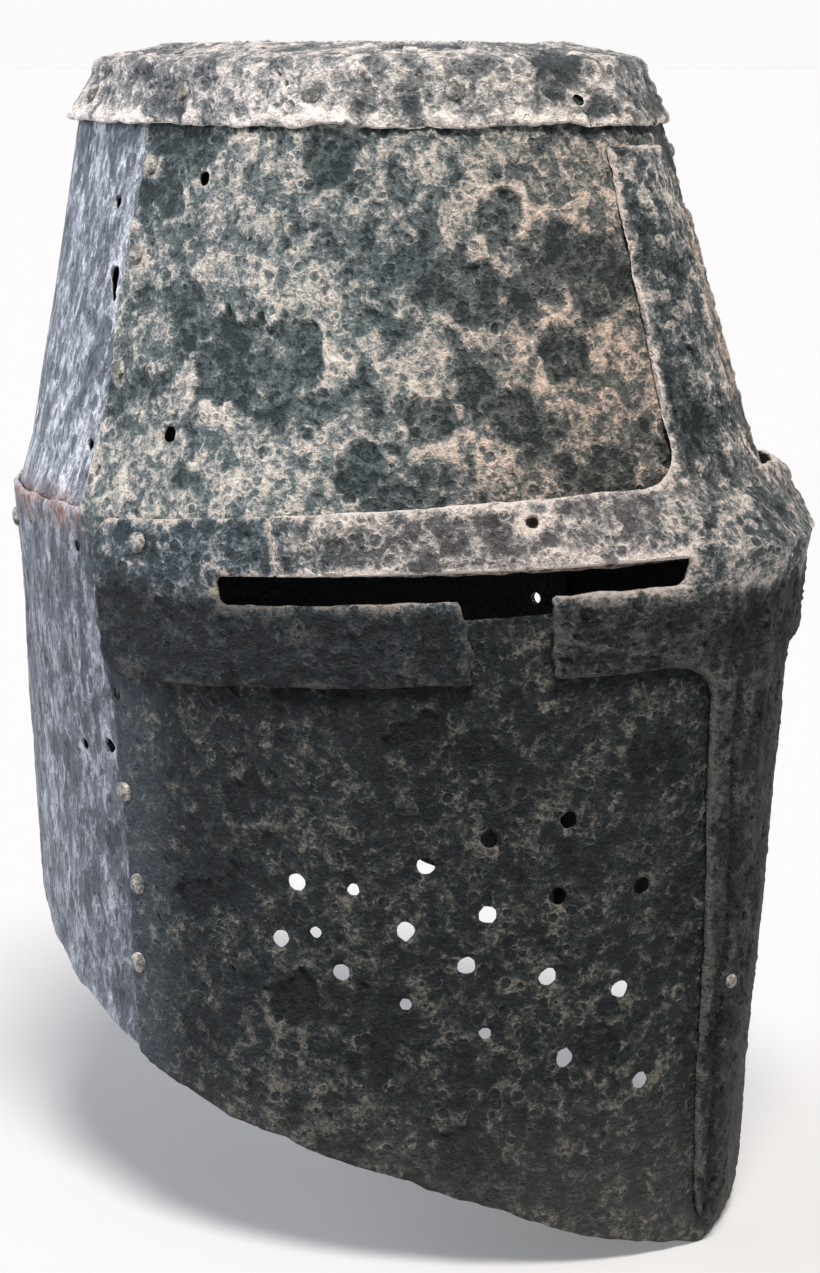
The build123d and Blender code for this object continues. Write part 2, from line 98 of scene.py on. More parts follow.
# Side outlines as (y, z).
UPPER_FRONT_EDGE = [(-160, 356), (38.5, 356), (37.5, 240), (36.5, 222), (34.5, 216.5),
                    (29.5, 212.3), (0, 212.6), (-160, 217.4)]
UPPER_BACK_LEAD = 24.0
LOWER_BACK_LEAD = 9.5
LOWER_FRONT_EDGE = [(-160, 206.9), (31.5, 193.9), (27.8, 187), (24.4, 169), (23.2, 144),
                    (21.5, 112), (20.0, 30), (-160, -30)]
HEM = [(-160, -28), (-124, -0.8), (-107, 10), (-90, 21), (-66, 31.5), (-40, 39), (-15, 46), (10, 54),
       (35, 63), (60, 72), (80, 82), (100, 91), (118, 95.5), (135, 98), (170, 101)]

# Sight cross: (height at the widest line, rise per mm towards the keel) of its climbing edges.
ARM_TOP, SIGHT_TOP, SIGHT_FOOT, ARM_FOOT = (227.5, 0.092), (212.0, 0.060), (202.2, 0.062), (179.0, 0.056)
ARM_END, ARM_END_RADIUS = 25.0, 8.0
SIGHT_END, SIGHT_INNER, SIGHT_RADIUS = -25.2, 32.6, 2.5
BAR_HEIGHTS, BAR_HALF_WIDTHS = (20.0, 175.0, 227.5, 262.0, 334.5), (8.5, 19.5, 19.0, 18.0, 13.5)
BAR_TIP = 12.75
BROW_FILLET, NOSE_FILLET = 13.0, 12.0
CRACK = [(-43.6, 214.0), (-42.0, 223.0), (-35.0, 245.0)]
FRAGMENT_END = [(-91.6, 175.0), (-91.6, 187.0), (-92.6, 194.0), (-91.2, 199.0), (-90.4, 209.8)]
LOST_STRIP_END = [(-109.9, 175.0), (-109.8, 189.0), (-111.0, 212.5)]

# Rivets as (turn, height) and holes as (turn, height, radius), on the wearer's right.
CROWN_RIVETS = [(39, 350.5), (70, 350), (107, 350), (143, 349)]
REAR_CROWN_RIVET = [(180, 349)]
UPPER_SEAM_RIVETS = [(113, 328), (111, 301.5), (109, 267.5)]
LOWER_SEAM_RIVETS = [(101, 141), (99, 112.5), (99.5, 87.5)]
WAIST_RIVETS = [(142, 215), (161, 215), (180, 215), (199, 215), (218, 215)]
ARM_END_RIVETS = [(92, 220.5)]
ARM_RIVETS = [(61, 228)]
BROW_RIVETS = [(33, 231)]
BAR_UPPER_RIVETS = [(2.6, 307), (2.6, 286)]
BAR_LOWER_RIVETS = [(1.6, 86)]
LINING_RIVETS = [(28.5, 332)]
SEAM_HOLES_UPPER = [(107.5, 238, 2.1)]
SEAM_HOLES_LOWER = [(101.5, 171.5, 2.1)]
SKULL_LACE_HOLES = [(96, 325, 2.6), (93, 251, 2.6)]
BACK_LACE_HOLES = [(124, 316.5, 2.4), (115, 244, 2.2)]
KEYHOLE = [(118.7, 295, 3.0), (118.0, 291.5, 2.2), (117.4, 288.5, 1.9)]
WAIST_HOLES = [(112.5, 214, 2.2), (130.5, 216.5, 1.6)]
CHEEK_HOLES = [(114, 151.5, 2.2), (106, 153.5, 2.5)]
CROWN_HOLE = [(12, 348.5, 2.3)]
BREATHS = [(27, 142), (38, 137), (47, 129), (67, 122), (16, 120), (28, 119), (38, 114), (50, 109),
           (70, 104), (41, 98.5), (60, 95), (29, 94), (18, 88), (26, 68), (14, 58)]
SMALL_BREATHS = [(58, 121), (64, 107), (50, 86), (38, 77)]
BREATH_RADIUS, SMALL_BREATH_RADIUS = 2.9, 2.1

# Craters in the skull and the face plate as (turn, height, radius, depth), on the wearer's right.
SKULL_CRATERS = [(82, 273, 15, 0.9), (70, 274, 11, 0.8), (65, 331, 9, 0.8), (38, 292, 10, 0.8),
                 (32, 315, 8, 0.8), (21, 308, 7, 0.7), (104, 317, 6, 0.7), (24, 277, 8, 0.8),
                 (46, 258, 8, 0.8), (32, 258, 8, 0.7), (21, 240, 8, 0.8), (57, 244, 8, 0.7),
                 (106, 288, 5, 0.6)]
FACE_CRATERS = [(75, 145, 8, 0.5), (48, 167, 8, 0.6), (17, 159, 7, 0.5), (67, 85, 9, 0.5), (40, 40, 9, 0.5),
                (21, 70, 8, 0.5), (86, 112, 7, 0.6)]


# ---- Values a user would change ----
def linear(code):
    """sRGB hex colour as linear RGBA."""
    parts = [int(code[i:i + 2], 16) / 255 for i in (1, 3, 5)]
    return (*[p / 12.92 if p <= 0.04045 else ((p + 0.055) / 1.055) ** 2.4 for p in parts], 1.0)


def length(name, description, millimetres):
    """Length property, drawn in millimetres and kept in metres."""
    return FloatProperty(name=name, description=description, default=millimetres * MM, min=0.0,
                         unit="LENGTH", precision=5)


def colour(name, description, code):
    """Colour property from an sRGB hex value."""
    return FloatVectorProperty(name=name, description=description, default=linear(code), size=4,
                               min=0.0, max=1.0, subtype="COLOR")


class HelmSizes(bpy.types.PropertyGroup):
    """Thicknesses, rivets and depth of the corrosion."""

    plate: length("Plate", "Thickness of the walls and of the crown", PLATE)
    cross: length("Cross", "Thickness of the sight cross", CROSS)
    grain: length("Grain", "Spacing of the surface grid on the plates", 1.25)
    cross_grain: length("Cross grain", "Spacing of the surface grid on the cross", 0.85)
    dents: length("Dents", "How far the plates are beaten in and out", 0.8)
    flakes: length("Flakes", "Thickness of one layer of flaking scale", 0.5)
    pits: length("Pits", "Depth of the corrosion pits", 0.5)
    head_radius: length("Rivet head radius", "Radius of a rivet's head", 3.2)
    head_height: length("Rivet head height", "Height of a rivet's head", 1.7)


class HelmColours(bpy.types.PropertyGroup):
    """Colours of the rust, the inside and the floor."""

    rust: colour("Rust", "Orange rust in the waist seam", "#7A4A30")
    # Near-black of the inner faces: painted shade of the helm's dark inside.
    inside: colour("Inside", "Dark iron of the inner faces", "#121516")
    floor: colour("Floor", "Pale studio floor", "#9D9E9F")


# ---- Noise ----
def lattice_noise(points, size, seed):
    """Smooth noise of about -1 to 1: every corner of a cubic lattice, one size apart, has a random
    slope, and the eight slopes round a point are blended with the fifth-degree fade curve."""
    slopes = np.random.default_rng(seed).normal(size=(1024, 3))
    slopes /= np.linalg.norm(slopes, axis=1, keepdims=True)
    place = points / size + 57.3 + seed * 0.37
    cell = np.floor(place).astype(np.int64)
    part = place - cell
    fade = part**3 * (part * (part * 6 - 15) + 10)
    total = np.zeros(points.shape[:-1])
    for corner in np.ndindex(2, 2, 2):
        mixed = (cell + corner) * (73856093, 19349663, 83492791)
        slope = slopes[(mixed[..., 0] ^ mixed[..., 1] ^ mixed[..., 2]) & 1023]
        weight = np.prod(np.where(corner, fade, 1 - fade), axis=-1)
        total += weight * np.sum(slope * (part - corner), axis=-1)
    return total * 1.7


def fractal(points, size, octaves, seed, fall=0.55):
    """Sum of lattice noises, each half as wide and fall times as high as the one before."""
    total, height = np.zeros(points.shape[:-1]), 1.0
    for octave in range(octaves):
        total += height * lattice_noise(points, size / 2**octave, seed + octave)
        height *= fall
    return total


def nearest_speck(points, size, seed):
    """Distance, in sizes, to the nearest of one random speck per cubic cell, and its own random
    value: the 27 cells round each point are searched."""
    table = np.random.default_rng(seed).random((1024, 4))
    place = points / size + 31.7
    cell = np.floor(place).astype(np.int64)
    best = np.full(points.shape[:-1], 9.0)
    value = np.zeros(points.shape[:-1])
    for step in np.ndindex(3, 3, 3):
        near = cell + step - 1
        mixed = near * (73856093, 19349663, 83492791)
        speck = table[(mixed[..., 0] ^ mixed[..., 1] ^ mixed[..., 2]) & 1023]
        gap = np.linalg.norm(near + speck[..., :3] - place, axis=-1)
        value = np.where(gap < best, speck[..., 3], value)
        best = np.minimum(best, gap)
    return best, value


def ramp(value, start, end):
    """0 before start, 1 after end, and a smooth cubic between."""
    share = np.clip((value - start) / (end - start), 0, 1)
    return share * share * (3 - 2 * share)


# ---- Walls of the helm ----
def size_at(levels, height):
    """Size at each height, straight between the levels and carried on past their ends."""
    knots = np.array([level[0] for level in levels])[::-1]
    sizes = np.array([level[1] for level in levels])[::-1]
    index = np.clip(np.searchsorted(knots, height) - 1, 0, len(knots) - 2)
    share = (height - knots[index]) / (knots[index + 1] - knots[index])
    return sizes[index] + (sizes[index + 1] - sizes[index]) * share[..., None]


def reach_of(size, turn, grow=0.0):
    """Reach of the plan outline from the upright axis, moved outwards by grow: at the front it
    is the far side of a circle whose centre lies across the keel line, behind it an ellipse."""
    width, keel, back = np.moveaxis(np.asarray(size, float), -1, 0)
    across, along = np.abs(np.sin(turn)), np.cos(turn)
    radius = (width**2 + keel**2) / (2 * width)
    centre = radius - width
    inside = (across * centre) ** 2 - centre**2 + (radius + grow) ** 2
    front = np.sqrt(np.maximum(inside, 0)) - across * centre
    rear = 1 / np.hypot(across / (width + grow), along / (back + grow))
    return np.where(along >= 0, front, rear)


def on_outline(turn, reach, height):
    """Points at a turn and a reach about the upright axis."""
    return np.stack([-np.sin(turn) * reach, -np.cos(turn) * reach, height + 0 * reach], axis=-1)


def wall_face(levels, grow):
    """Face of a wall: at each height, the plan outline of the levels moved outwards by grow."""
    def face(turn, height):
        return on_outline(turn, reach_of(size_at(levels, height), turn, grow), height)
    return face


def lapped(height, levels, grow):
    """Level whose size is moved outwards by grow all round."""
    return height, tuple(size_at(levels, np.array(height)) + grow)


def flared(height):
    """Level of the upper front plate where its sides spring out over the lower back plate."""
    skull, face = size_at(SKULL, np.array(height)), size_at(FACE, np.array(height))
    return height, (face[0], skull[1], face[2])


FRONT_OUTER = LAP + PLATE
CROSS_OUTER = FRONT_OUTER + LAP + CROSS
SKIRT_IN = -PLATE - LAP
UPPER_FRONT = [*SKULL[:2], lapped(250.0, SKULL, 0), flared(RIM), flared(SKIRT_FOOT)]
UPPER_BACK = [*SKULL[:2], lapped(240.0, SKULL, 0), lapped(RIM, FACE, SKIRT_IN),
              lapped(SKIRT_FOOT - 2, FACE, SKIRT_IN)]


# Crown: its corner, and the length of its run over each part.
CORNER, CORNER_BEND, CROWN_INSET = 5.6, radians(66), 26
FLANGE_RUN, CORNER_RUN, SLOPE_RUN, MIDDLE_RUN = 14.9, CORNER * CORNER_BEND, 23.0, 62.0
CROWN_RUN = FLANGE_RUN + CORNER_RUN + SLOPE_RUN + MIDDLE_RUN


def crown_face(turn, run):
    """Crown along its run from the flange's foot: up the flange, round a bend of radius CORNER,
    over a shallow slope and in to the middle, where every turn meets in one point."""
    flange = FRONT_OUTER + LAP + PLATE
    neck = np.minimum(run / FLANGE_RUN, 1)
    bend = np.clip((run - FLANGE_RUN) / CORNER_RUN, 0, 1) * CORNER_BEND
    slope = np.clip((run - FLANGE_RUN - CORNER_RUN) / SLOPE_RUN, 0, 1)
    inward = np.clip((run - FLANGE_RUN - CORNER_RUN - SLOPE_RUN) / MIDDLE_RUN, 0, 1)
    height = FLANGE_FOOT + neck * (BEND_FOOT - FLANGE_FOOT) + CORNER * np.sin(bend)
    height = height + slope * (CROWN_TOP - BEND_FOOT - CORNER * sin(CORNER_BEND))
    grow = flange - CORNER * (1 - np.cos(bend)) - slope * (CROWN_INSET - CORNER * (1 - cos(CORNER_BEND)))
    reach = reach_of(size_at(SKULL, np.minimum(height, BEND_FOOT)), turn, grow)
    return on_outline(turn, reach * (1 - inward), height)


def climbing(height, climb, levels, lift):
    """Section of the cross along a climbing edge, lifted off the plate that it lies on."""
    side = size_at(levels, np.array(height))
    keel = size_at(levels, np.array(height + climb * side[1]))[1] * np.hypot(1, climb)
    return height, (side[0], keel, side[2]), lift, climb


CROSS_SECTIONS = [
    (0.0, size_at(FACE, np.array(0.0)), 0.0, 0.0),
    climbing(*ARM_FOOT, FACE, 0.3),
    climbing(*SIGHT_FOOT, FACE, 1.3),
    climbing(*SIGHT_TOP, FACE, 2.9),
    climbing(*ARM_TOP, UPPER_FRONT, 0.8),
    (262.0, size_at(UPPER_FRONT, np.array(262.0)), 0.0, 0.0),
    (FLANGE_FOOT, size_at(SKULL, np.array(FLANGE_FOOT)), 0.0, 0.0),
]
BENT_OUT_HEIGHTS = (178.0, 195.0, 212.0, 226.0, 236.0, 252.0)
BENT_OUT = (0.0, 1.6, 2.6, 1.2, 0.3, 0.0)


def cross_face(turn, height):
    """Outer face of the cross: each section is the plan outline on a plane that climbs to the
    keel, and a point lies straight between the sections above and below it. The left arm is
    bent a little away from the plate behind it."""
    bent = np.interp(height, BENT_OUT_HEIGHTS, BENT_OUT) * ramp(-turn, radians(30), radians(62))
    lines = []
    for level, size, lift, climb in CROSS_SECTIONS:
        reach = reach_of(size, turn, lift + CROSS_OUTER + bent)
        lines.append(on_outline(turn, reach, level + climb * np.cos(turn) * reach))
    knots = [section[0] for section in CROSS_SECTIONS]
    rise = np.interp(height, knots, range(len(knots)))
    index = np.clip(rise.astype(int), 0, len(knots) - 2)
    lines = np.array(lines)
    low = np.take_along_axis(lines, index[None, ..., None], axis=0)[0]
    high = np.take_along_axis(lines, index[None, ..., None] + 1, axis=0)[0]
    return low + (high - low) * (rise - index)[..., None]


def level_of(turn, height):
    """Section height that carries the cross's face to a true height: repeated correction by the
    height that is still missing."""
    level = np.array(height, float)
    for _ in range(12):
        level = level + height - cross_face(turn, level)[..., 2]
    return level


def raised_cross_face(turn, height):
    """Face of the cross by turn and true height."""
    return cross_face(turn, level_of(turn, height))


def frame_of(face, turn, rise):
    """Point, outward normal and metric of a face: its steps in mm per unit of turn and of rise."""
    nudge_turn, nudge_rise = 0.004, 0.4
    sideways = (face(turn + nudge_turn, rise) - face(turn - nudge_turn, rise)) / (2 * nudge_turn)
    upwards = (face(turn, rise + nudge_rise) - face(turn, rise - nudge_rise)) / (2 * nudge_rise)
    normal = np.cross(upwards, sideways)
    normal /= np.maximum(np.linalg.norm(normal, axis=-1, keepdims=True), 1e-9)
    return face(turn, rise), normal, sideways, upwards


# ---- Outlines: distances in mm, positive inside the iron ----
def outline_distance(along, up, corners):
    """Distance to a closed outline of straight sides: to the nearest side, with its sign from
    how many sides a line drawn sideways crosses."""
    corners = np.asarray(corners, float)
    best, inside = np.full(along.shape, 1e9), np.zeros(along.shape, bool)
    for start, end in zip(corners, np.roll(corners, -1, axis=0)):
        edge = end - start
        share = np.clip(((along - start[0]) * edge[0] + (up - start[1]) * edge[1]) / (edge @ edge), 0, 1)
        gap = np.hypot(along - start[0] - share * edge[0], up - start[1] - share * edge[1])
        best = np.minimum(best, gap)
        if edge[1]:
            level = start[0] + edge[0] * (up - start[1]) / edge[1]
            inside ^= ((start[1] > up) != (end[1] > up)) & (along < level)
    return np.where(inside, best, -best)


def above_hem(points):
    """Height above the lower edge of the helm, which runs up from the chin to the back."""
    y, z = np.array(HEM).T
    slope = np.gradient(np.interp(np.linspace(-160, 170, 331), y, z))
    lean = np.interp(points[..., 1], np.linspace(-160, 170, 331), slope)
    return (points[..., 2] - np.interp(points[..., 1], y, z)) / np.hypot(1, lean * 0.5)


def ragged(points, size, height, seed):
    """Rust-eaten wander of an edge."""
    return height * fractal(points, size, 3, seed)


def mirrored(places):
    """The same places on the wearer's left."""
    return [(-place[0], *place[1:]) for place in places]


def both_sides(places):
    """Places on the right followed by the same places on the left."""
    return places + mirrored(places)


def holes_in(face, places):
    """Distance outside a set of rust-eaten round holes."""
    turns, heights, radii = np.array(places, float).T
    centres = face(np.radians(turns), heights)

    def distance(points):
        uneven = 1 + 0.16 * lattice_noise(points, 2.6, 71)
        best = np.full(points.shape[:-1], 1e9)
        for centre, radius in zip(centres, radii):
            best = np.minimum(best, np.linalg.norm(points - centre, axis=-1) - radius * uneven)
        return best
    return distance


def upper_front_region(points, holes):
    """Inside its side outline, under the crown and outside its holes."""
    y, z = points[..., 1], points[..., 2]
    edge = outline_distance(y, z, UPPER_FRONT_EDGE) + ragged(points, 9, 0.55, 5)
    return np.minimum.reduce([edge, WALL_TOP - z, holes(points)])


def upper_back_region(points, holes):
    """Behind its leading edge, between its straight foot and top, and outside its holes."""
    y, z = points[..., 1], points[..., 2]
    return np.minimum.reduce([y - UPPER_BACK_LEAD, WALL_TOP - z, z - SKIRT_FOOT, holes(points)])


def lower_front_region(points, holes):
    """Inside its side outline, above the hem and outside its holes."""
    edge = outline_distance(points[..., 1], points[..., 2], LOWER_FRONT_EDGE) + ragged(points, 8, 0.4, 6)
    hem = above_hem(points) + ragged(points, 14, 0.9, 7)
    return np.minimum.reduce([edge, hem, holes(points)])


def lower_back_region(points, holes):
    """Behind its leading edge, between the hem and its ragged rim, and outside its holes."""
    rim = RIM - points[..., 2] + ragged(points, 12, 0.7, 8)
    hem = above_hem(points) + ragged(points, 14, 0.9, 7)
    return np.minimum.reduce([points[..., 1] - LOWER_BACK_LEAD, rim, hem, holes(points)])


def crown_region(points, holes):
    """Above the ragged foot of the flange and outside its hole."""
    foot = points[..., 2] - FLANGE_FOOT + ragged(points, 16, 0.9, 12) + ragged(points, 5, 0.35, 13)
    return np.minimum(foot, holes(points))


def at_edge(edge, points):
    """Height of a climbing edge of the cross where each point is."""
    return edge[0] - edge[1] * points[..., 1]


def cross_blank(points):
    """Inside the arms, which end round, or inside the bar, joined so that each inner corner is a
    hollow quarter circle, and outside both eye slits, which have round corners."""
    x, y, z = np.moveaxis(points, -1, 0)
    inset = ARM_END_RADIUS
    arms = np.minimum(at_edge(ARM_TOP, points) - z, z - at_edge(ARM_FOOT, points)) - inset
    past = ARM_END - inset - y
    arms = np.where((arms < 0) & (past < 0), -np.hypot(arms, past), np.minimum(arms, past)) + inset
    half = np.interp(z, BAR_HEIGHTS, BAR_HALF_WIDTHS)
    tip = 1 - np.hypot(x / BAR_HALF_WIDTHS[0], np.minimum(z - BAR_HEIGHTS[0], 0) / BAR_TIP)
    bar = np.where(z > BAR_HEIGHTS[0], half - np.abs(x), tip * BAR_HALF_WIDTHS[0])
    bar = np.minimum(bar, BAR_HEIGHTS[-1] - z)
    fillet = np.where(z > SIGHT_FOOT[0], BROW_FILLET, NOSE_FILLET)
    joined = np.hypot(np.maximum(fillet + arms, 0), np.maximum(fillet + bar, 0))
    iron = joined - np.maximum(fillet, -np.maximum(arms, bar))
    top, foot = at_edge(SIGHT_TOP, points), at_edge(SIGHT_FOOT, points)
    beyond = np.maximum(y - SIGHT_END, SIGHT_INNER - np.abs(x)) + SIGHT_RADIUS
    rise = np.abs(z - (top + foot) / 2) - (top - foot) / 2 + SIGHT_RADIUS
    slit = np.hypot(np.maximum(beyond, 0), np.maximum(rise, 0)) + np.minimum(np.maximum(beyond, rise), 0)
    return np.minimum(iron, slit - SIGHT_RADIUS) + ragged(points, 10, 0.45, 9)


def broken_off(points, gap, lower_end):
    """Inside the part of the right arm beyond the crack and beyond a ragged lower end."""
    upper = [(y - gap, z) for y, z in CRACK]
    corners = [(60, 150), (lower_end[0][0], 150), *lower_end, (upper[0][0], lower_end[-1][1]),
               *upper, (60, 265)]
    beyond = outline_distance(points[..., 1], points[..., 2], corners) + ragged(points, 5, 0.6, 10)
    return np.where(points[..., 0] < 0, beyond, -99.0)


def sight_cross_region(points, holes):
    """The cross, less what broke off the right arm."""
    rest = -broken_off(points, 0.5, LOST_STRIP_END)
    return np.minimum.reduce([cross_blank(points), rest, holes(points)])


def arm_end_region(points):
    """The part of the cross that broke off the right arm and is still there."""
    return np.minimum(cross_blank(points), broken_off(points, 0.0, FRAGMENT_END))


# ---- Relief of the rust, in mm along the outward normal ----
def kept_flat(points, places, face):
    """0 at the rivets and 1 a few millimetres away from them."""
    turns, heights = np.array([place[:2] for place in places], float).T
    best = np.full(points.shape[:-1], 1e9)
    for centre in face(np.radians(turns), heights):
        best = np.minimum(best, np.linalg.norm(points - centre, axis=-1))
    return ramp(best, 3.4, 6.5)


def bowl(share, depth, wall):
    """Section of a crater by the share of its radius: a flat floor, a steep wall, and a raised lip
    of crust round it."""
    lip = np.exp(-((share - 1.1) / 0.14) ** 2)
    return -depth * ramp(1 - share, 0, wall) + 0.45 * depth * lip


def pitted(points, size, depth, seed, share):
    """Round pits: one speck in each cell, a share of them eaten in, each with its own width."""
    swayed = points + 0.3 * size * fractal(points, size * 0.6, 2, seed)[..., None]
    gap, value = nearest_speck(swayed, size, seed)
    return bowl(gap / (0.2 + 0.24 * value), depth, 0.6) * (value < share)


def cratered(points, face, places):
    """Wide shallow craters with scalloped walls, each at its turn and height, with its radius and
    depth."""
    height = np.zeros(points.shape[:-1])
    scallop = 1 + 0.34 * fractal(points, 9, 3, 24)
    turns, heights, radii, depths = np.array(places, float).T
    for centre, radius, depth in zip(face(np.radians(turns), heights), radii, depths):
        share = np.linalg.norm(points - centre, axis=-1) / radius * scallop
        height += bowl(share, 1.4 * depth, 1.7 / radius)
    return height


def flaked(points, layer, seed=3, bias=0.0):
    """Flaking scale: layers that have come away in steps with curved outlines, with a raised rim
    of crust along each step."""
    sheet = fractal(points, 30, 6, seed, 0.6) + bias
    height = np.zeros(points.shape[:-1])
    for level, depth in ((0.02, 0.8), (-0.24, 1.1), (-0.5, 1.2)):
        height -= layer * depth * ramp(level - sheet, 0, 0.05)
        height += layer * 0.6 * np.exp(-((sheet - level - 0.035) / 0.035) ** 2)
    return height


def crust_relief(points, layer, pits):
    """Relief of the skull and the crown: flakes, three widths of pits, and fine lumps."""
    height = flaked(points, layer) + 0.26 * fractal(points, 6, 3, 23, 0.75)
    for size, depth, seed, share in ((15, 1.5, 20, 0.5), (8, 1.3, 21, 0.65), (4.6, 0.9, 22, 0.7)):
        height += pitted(points, size, depth * pits, seed, share)
    return height


def blued_relief(points, layer, pits):
    """Relief of the back plates: thin flakes and small pits drawn out downwards."""
    drawn = points * (1.0, 1.0, 0.45)
    height = 0.35 * flaked(points, layer, 31, 0.35) + 0.14 * fractal(drawn, 7, 4, 34, 0.7)
    return height + pitted(drawn, 6.0, 0.8 * pits, 32, 0.5) + pitted(drawn, 3.8, 0.7 * pits, 33, 0.5)


def face_relief(points, layer, pits):
    """Relief of the face plate: small pits all over, and few flakes."""
    height = 0.4 * flaked(points, layer, 41, 0.3) + 0.22 * fractal(points, 5, 3, 44, 0.75)
    return height + pitted(points, 8, pits, 42, 0.5) + pitted(points, 4.4, 0.9 * pits, 43, 0.6)


def forged_relief(points, layer, pits):
    """Relief of the cross: the iron's fibres run along the arms and down the bar, and rust has
    opened them into long grooves, with one deep groove down the lower bar."""
    x, y, z = np.moveaxis(points, -1, 0)
    arm = ramp(np.hypot(x, y + 130), 22, 34) * ramp(246 - z, 0, 8) * ramp(z - 172, 0, 8)
    along_arm, along_bar = points * (0.3, 0.3, 1.0), points * (1.0, 1.0, 0.3)
    fibres = arm * fractal(along_arm, 4.6, 4, 51, 0.7) + (1 - arm) * fractal(along_bar, 4.6, 4, 52, 0.7)
    height = 0.5 * fibres + 0.7 * flaked(points, layer, 53, 0.1)
    height += pitted(points, 7, 1.3 * pits, 54, 0.6) + pitted(points, 3.6, 0.9 * pits, 55, 0.65)
    seam = np.interp(z, (15, 110, 180), (4.2, 7.0, 11.5)) + 0.8 * lattice_noise(points, 20, 56)
    return height - 0.9 * np.exp(-((x + seam) / 0.9) ** 2) * ramp(190 - z, 0, 30)


def beaten(points, depth):
    """Points moved towards or away from the upright axis by wide shallow dents, the same for
    every piece, so that lapping pieces stay together."""
    outward = points * (1.0, 1.0, 0.0)
    outward /= np.maximum(np.linalg.norm(outward, axis=-1, keepdims=True), 40.0)
    return points + outward * (depth * fractal(points, 70, 2, 61))[..., None]


# ---- Meshes ----
def add_mesh(name, points, triangles, marks):
    """Mesh object from points in drawing millimetres, triangles, and a value a point for each mark."""
    mesh = bpy.data.meshes.new(name)
    mesh.vertices.add(len(points))
    mesh.vertices.foreach_set("co", ((points + SHIFT) * MM).astype(np.float32).ravel())
    mesh.loops.add(3 * len(triangles))
    mesh.loops.foreach_set("vertex_index", triangles.astype(np.int32).ravel())
    mesh.polygons.add(len(triangles))
    mesh.polygons.foreach_set("loop_start", np.arange(0, 3 * len(triangles), 3, dtype=np.int32))
    mesh.update(calc_edges=True)
    for mark, values in marks.items():
        layer = mesh.attributes.new(mark, "FLOAT", "POINT")
        layer.data.foreach_set("value", values.astype(np.float32))
    mesh.polygons.foreach_set("use_smooth", np.ones(len(triangles), bool))
    mesh.set_sharp_from_angle(angle=radians(52))
    piece = bpy.data.objects.new(name, mesh)
    bpy.context.scene.collection.objects.link(piece)
    return piece


def snapped(face, region, turn, rise, depth, near, cells):
    """Grid places near the outline moved onto it, by three Newton steps along its steepest slope."""
    u, v = turn[near], rise[near]
    start_u, start_v = u.copy(), v.copy()
    nudge_u, nudge_v = 0.15 * cells[0], 0.15 * cells[1]
    for _ in range(3):
        here, _, sideways, upwards = frame_of(face, u, v)
        wide = np.linalg.norm(sideways, axis=-1)
        tall = np.linalg.norm(upwards, axis=-1)
        slope_u = (region(face(u + nudge_u, v)) - region(face(u - nudge_u, v))) / (2 * nudge_u * wide)
        slope_v = (region(face(u, v + nudge_v)) - region(face(u, v - nudge_v))) / (2 * nudge_v * tall)
        move = -region(here) / np.maximum(slope_u**2 + slope_v**2, 0.15)
        u = np.clip(u + move * slope_u / wide, start_u - 0.8 * cells[0], start_u + 0.8 * cells[0])
        v = np.clip(v + move * slope_v / tall, start_v - 0.8 * cells[1], start_v + 0.8 * cells[1])
    out = -(sideways / wide[:, None] * slope_u[:, None] + upwards / tall[:, None] * slope_v[:, None])
    out /= np.maximum(np.linalg.norm(out, axis=-1, keepdims=True), 1e-6)
    turn[near], rise[near] = u, v
    away = np.zeros((*turn.shape, 3))
    away[near] = out
    return away


def facets(ids, dropped, near, depth):
    """Two outward triangles for each grid cell, less those that reach a dropped place."""
    a, b = (slice(None, -1), slice(None, -1)), (slice(None, -1), slice(1, None))
    c, d = (slice(1, None), slice(1, None)), (slice(1, None), slice(None, -1))
    swap = dropped[a] | dropped[c]
    result = []
    for plain, swapped in (((a, d, c), (a, d, b)), ((a, c, b), (d, c, b))):
        corners = [[values[p] for p in plain] for values in (ids, dropped, near, depth)]
        others = [[values[p] for p in swapped] for values in (ids, dropped, near, depth)]
        index, lost, close, inside = [np.where(swap, np.array(other), np.array(corner))
                                      for corner, other in zip(corners, others)]
        keep = ~lost.any(0) & ~(close.all(0) & (inside.mean(0) < 0))
        result.append(index[:, keep].T)
    triangles = np.concatenate(result)
    same = (triangles[:, 0] == triangles[:, 1]) | (triangles[:, 1] == triangles[:, 2])
    return triangles[~(same | (triangles[:, 2] == triangles[:, 0]))]


def open_edges(triangles, count):
    """Directed edges that belong to one triangle only."""
    edges = np.concatenate([triangles[:, [0, 1]], triangles[:, [1, 2]], triangles[:, [2, 0]]])
    forward, backward = edges[:, 0] * count + edges[:, 1], edges[:, 1] * count + edges[:, 0]
    return edges[~np.isin(forward, backward)]


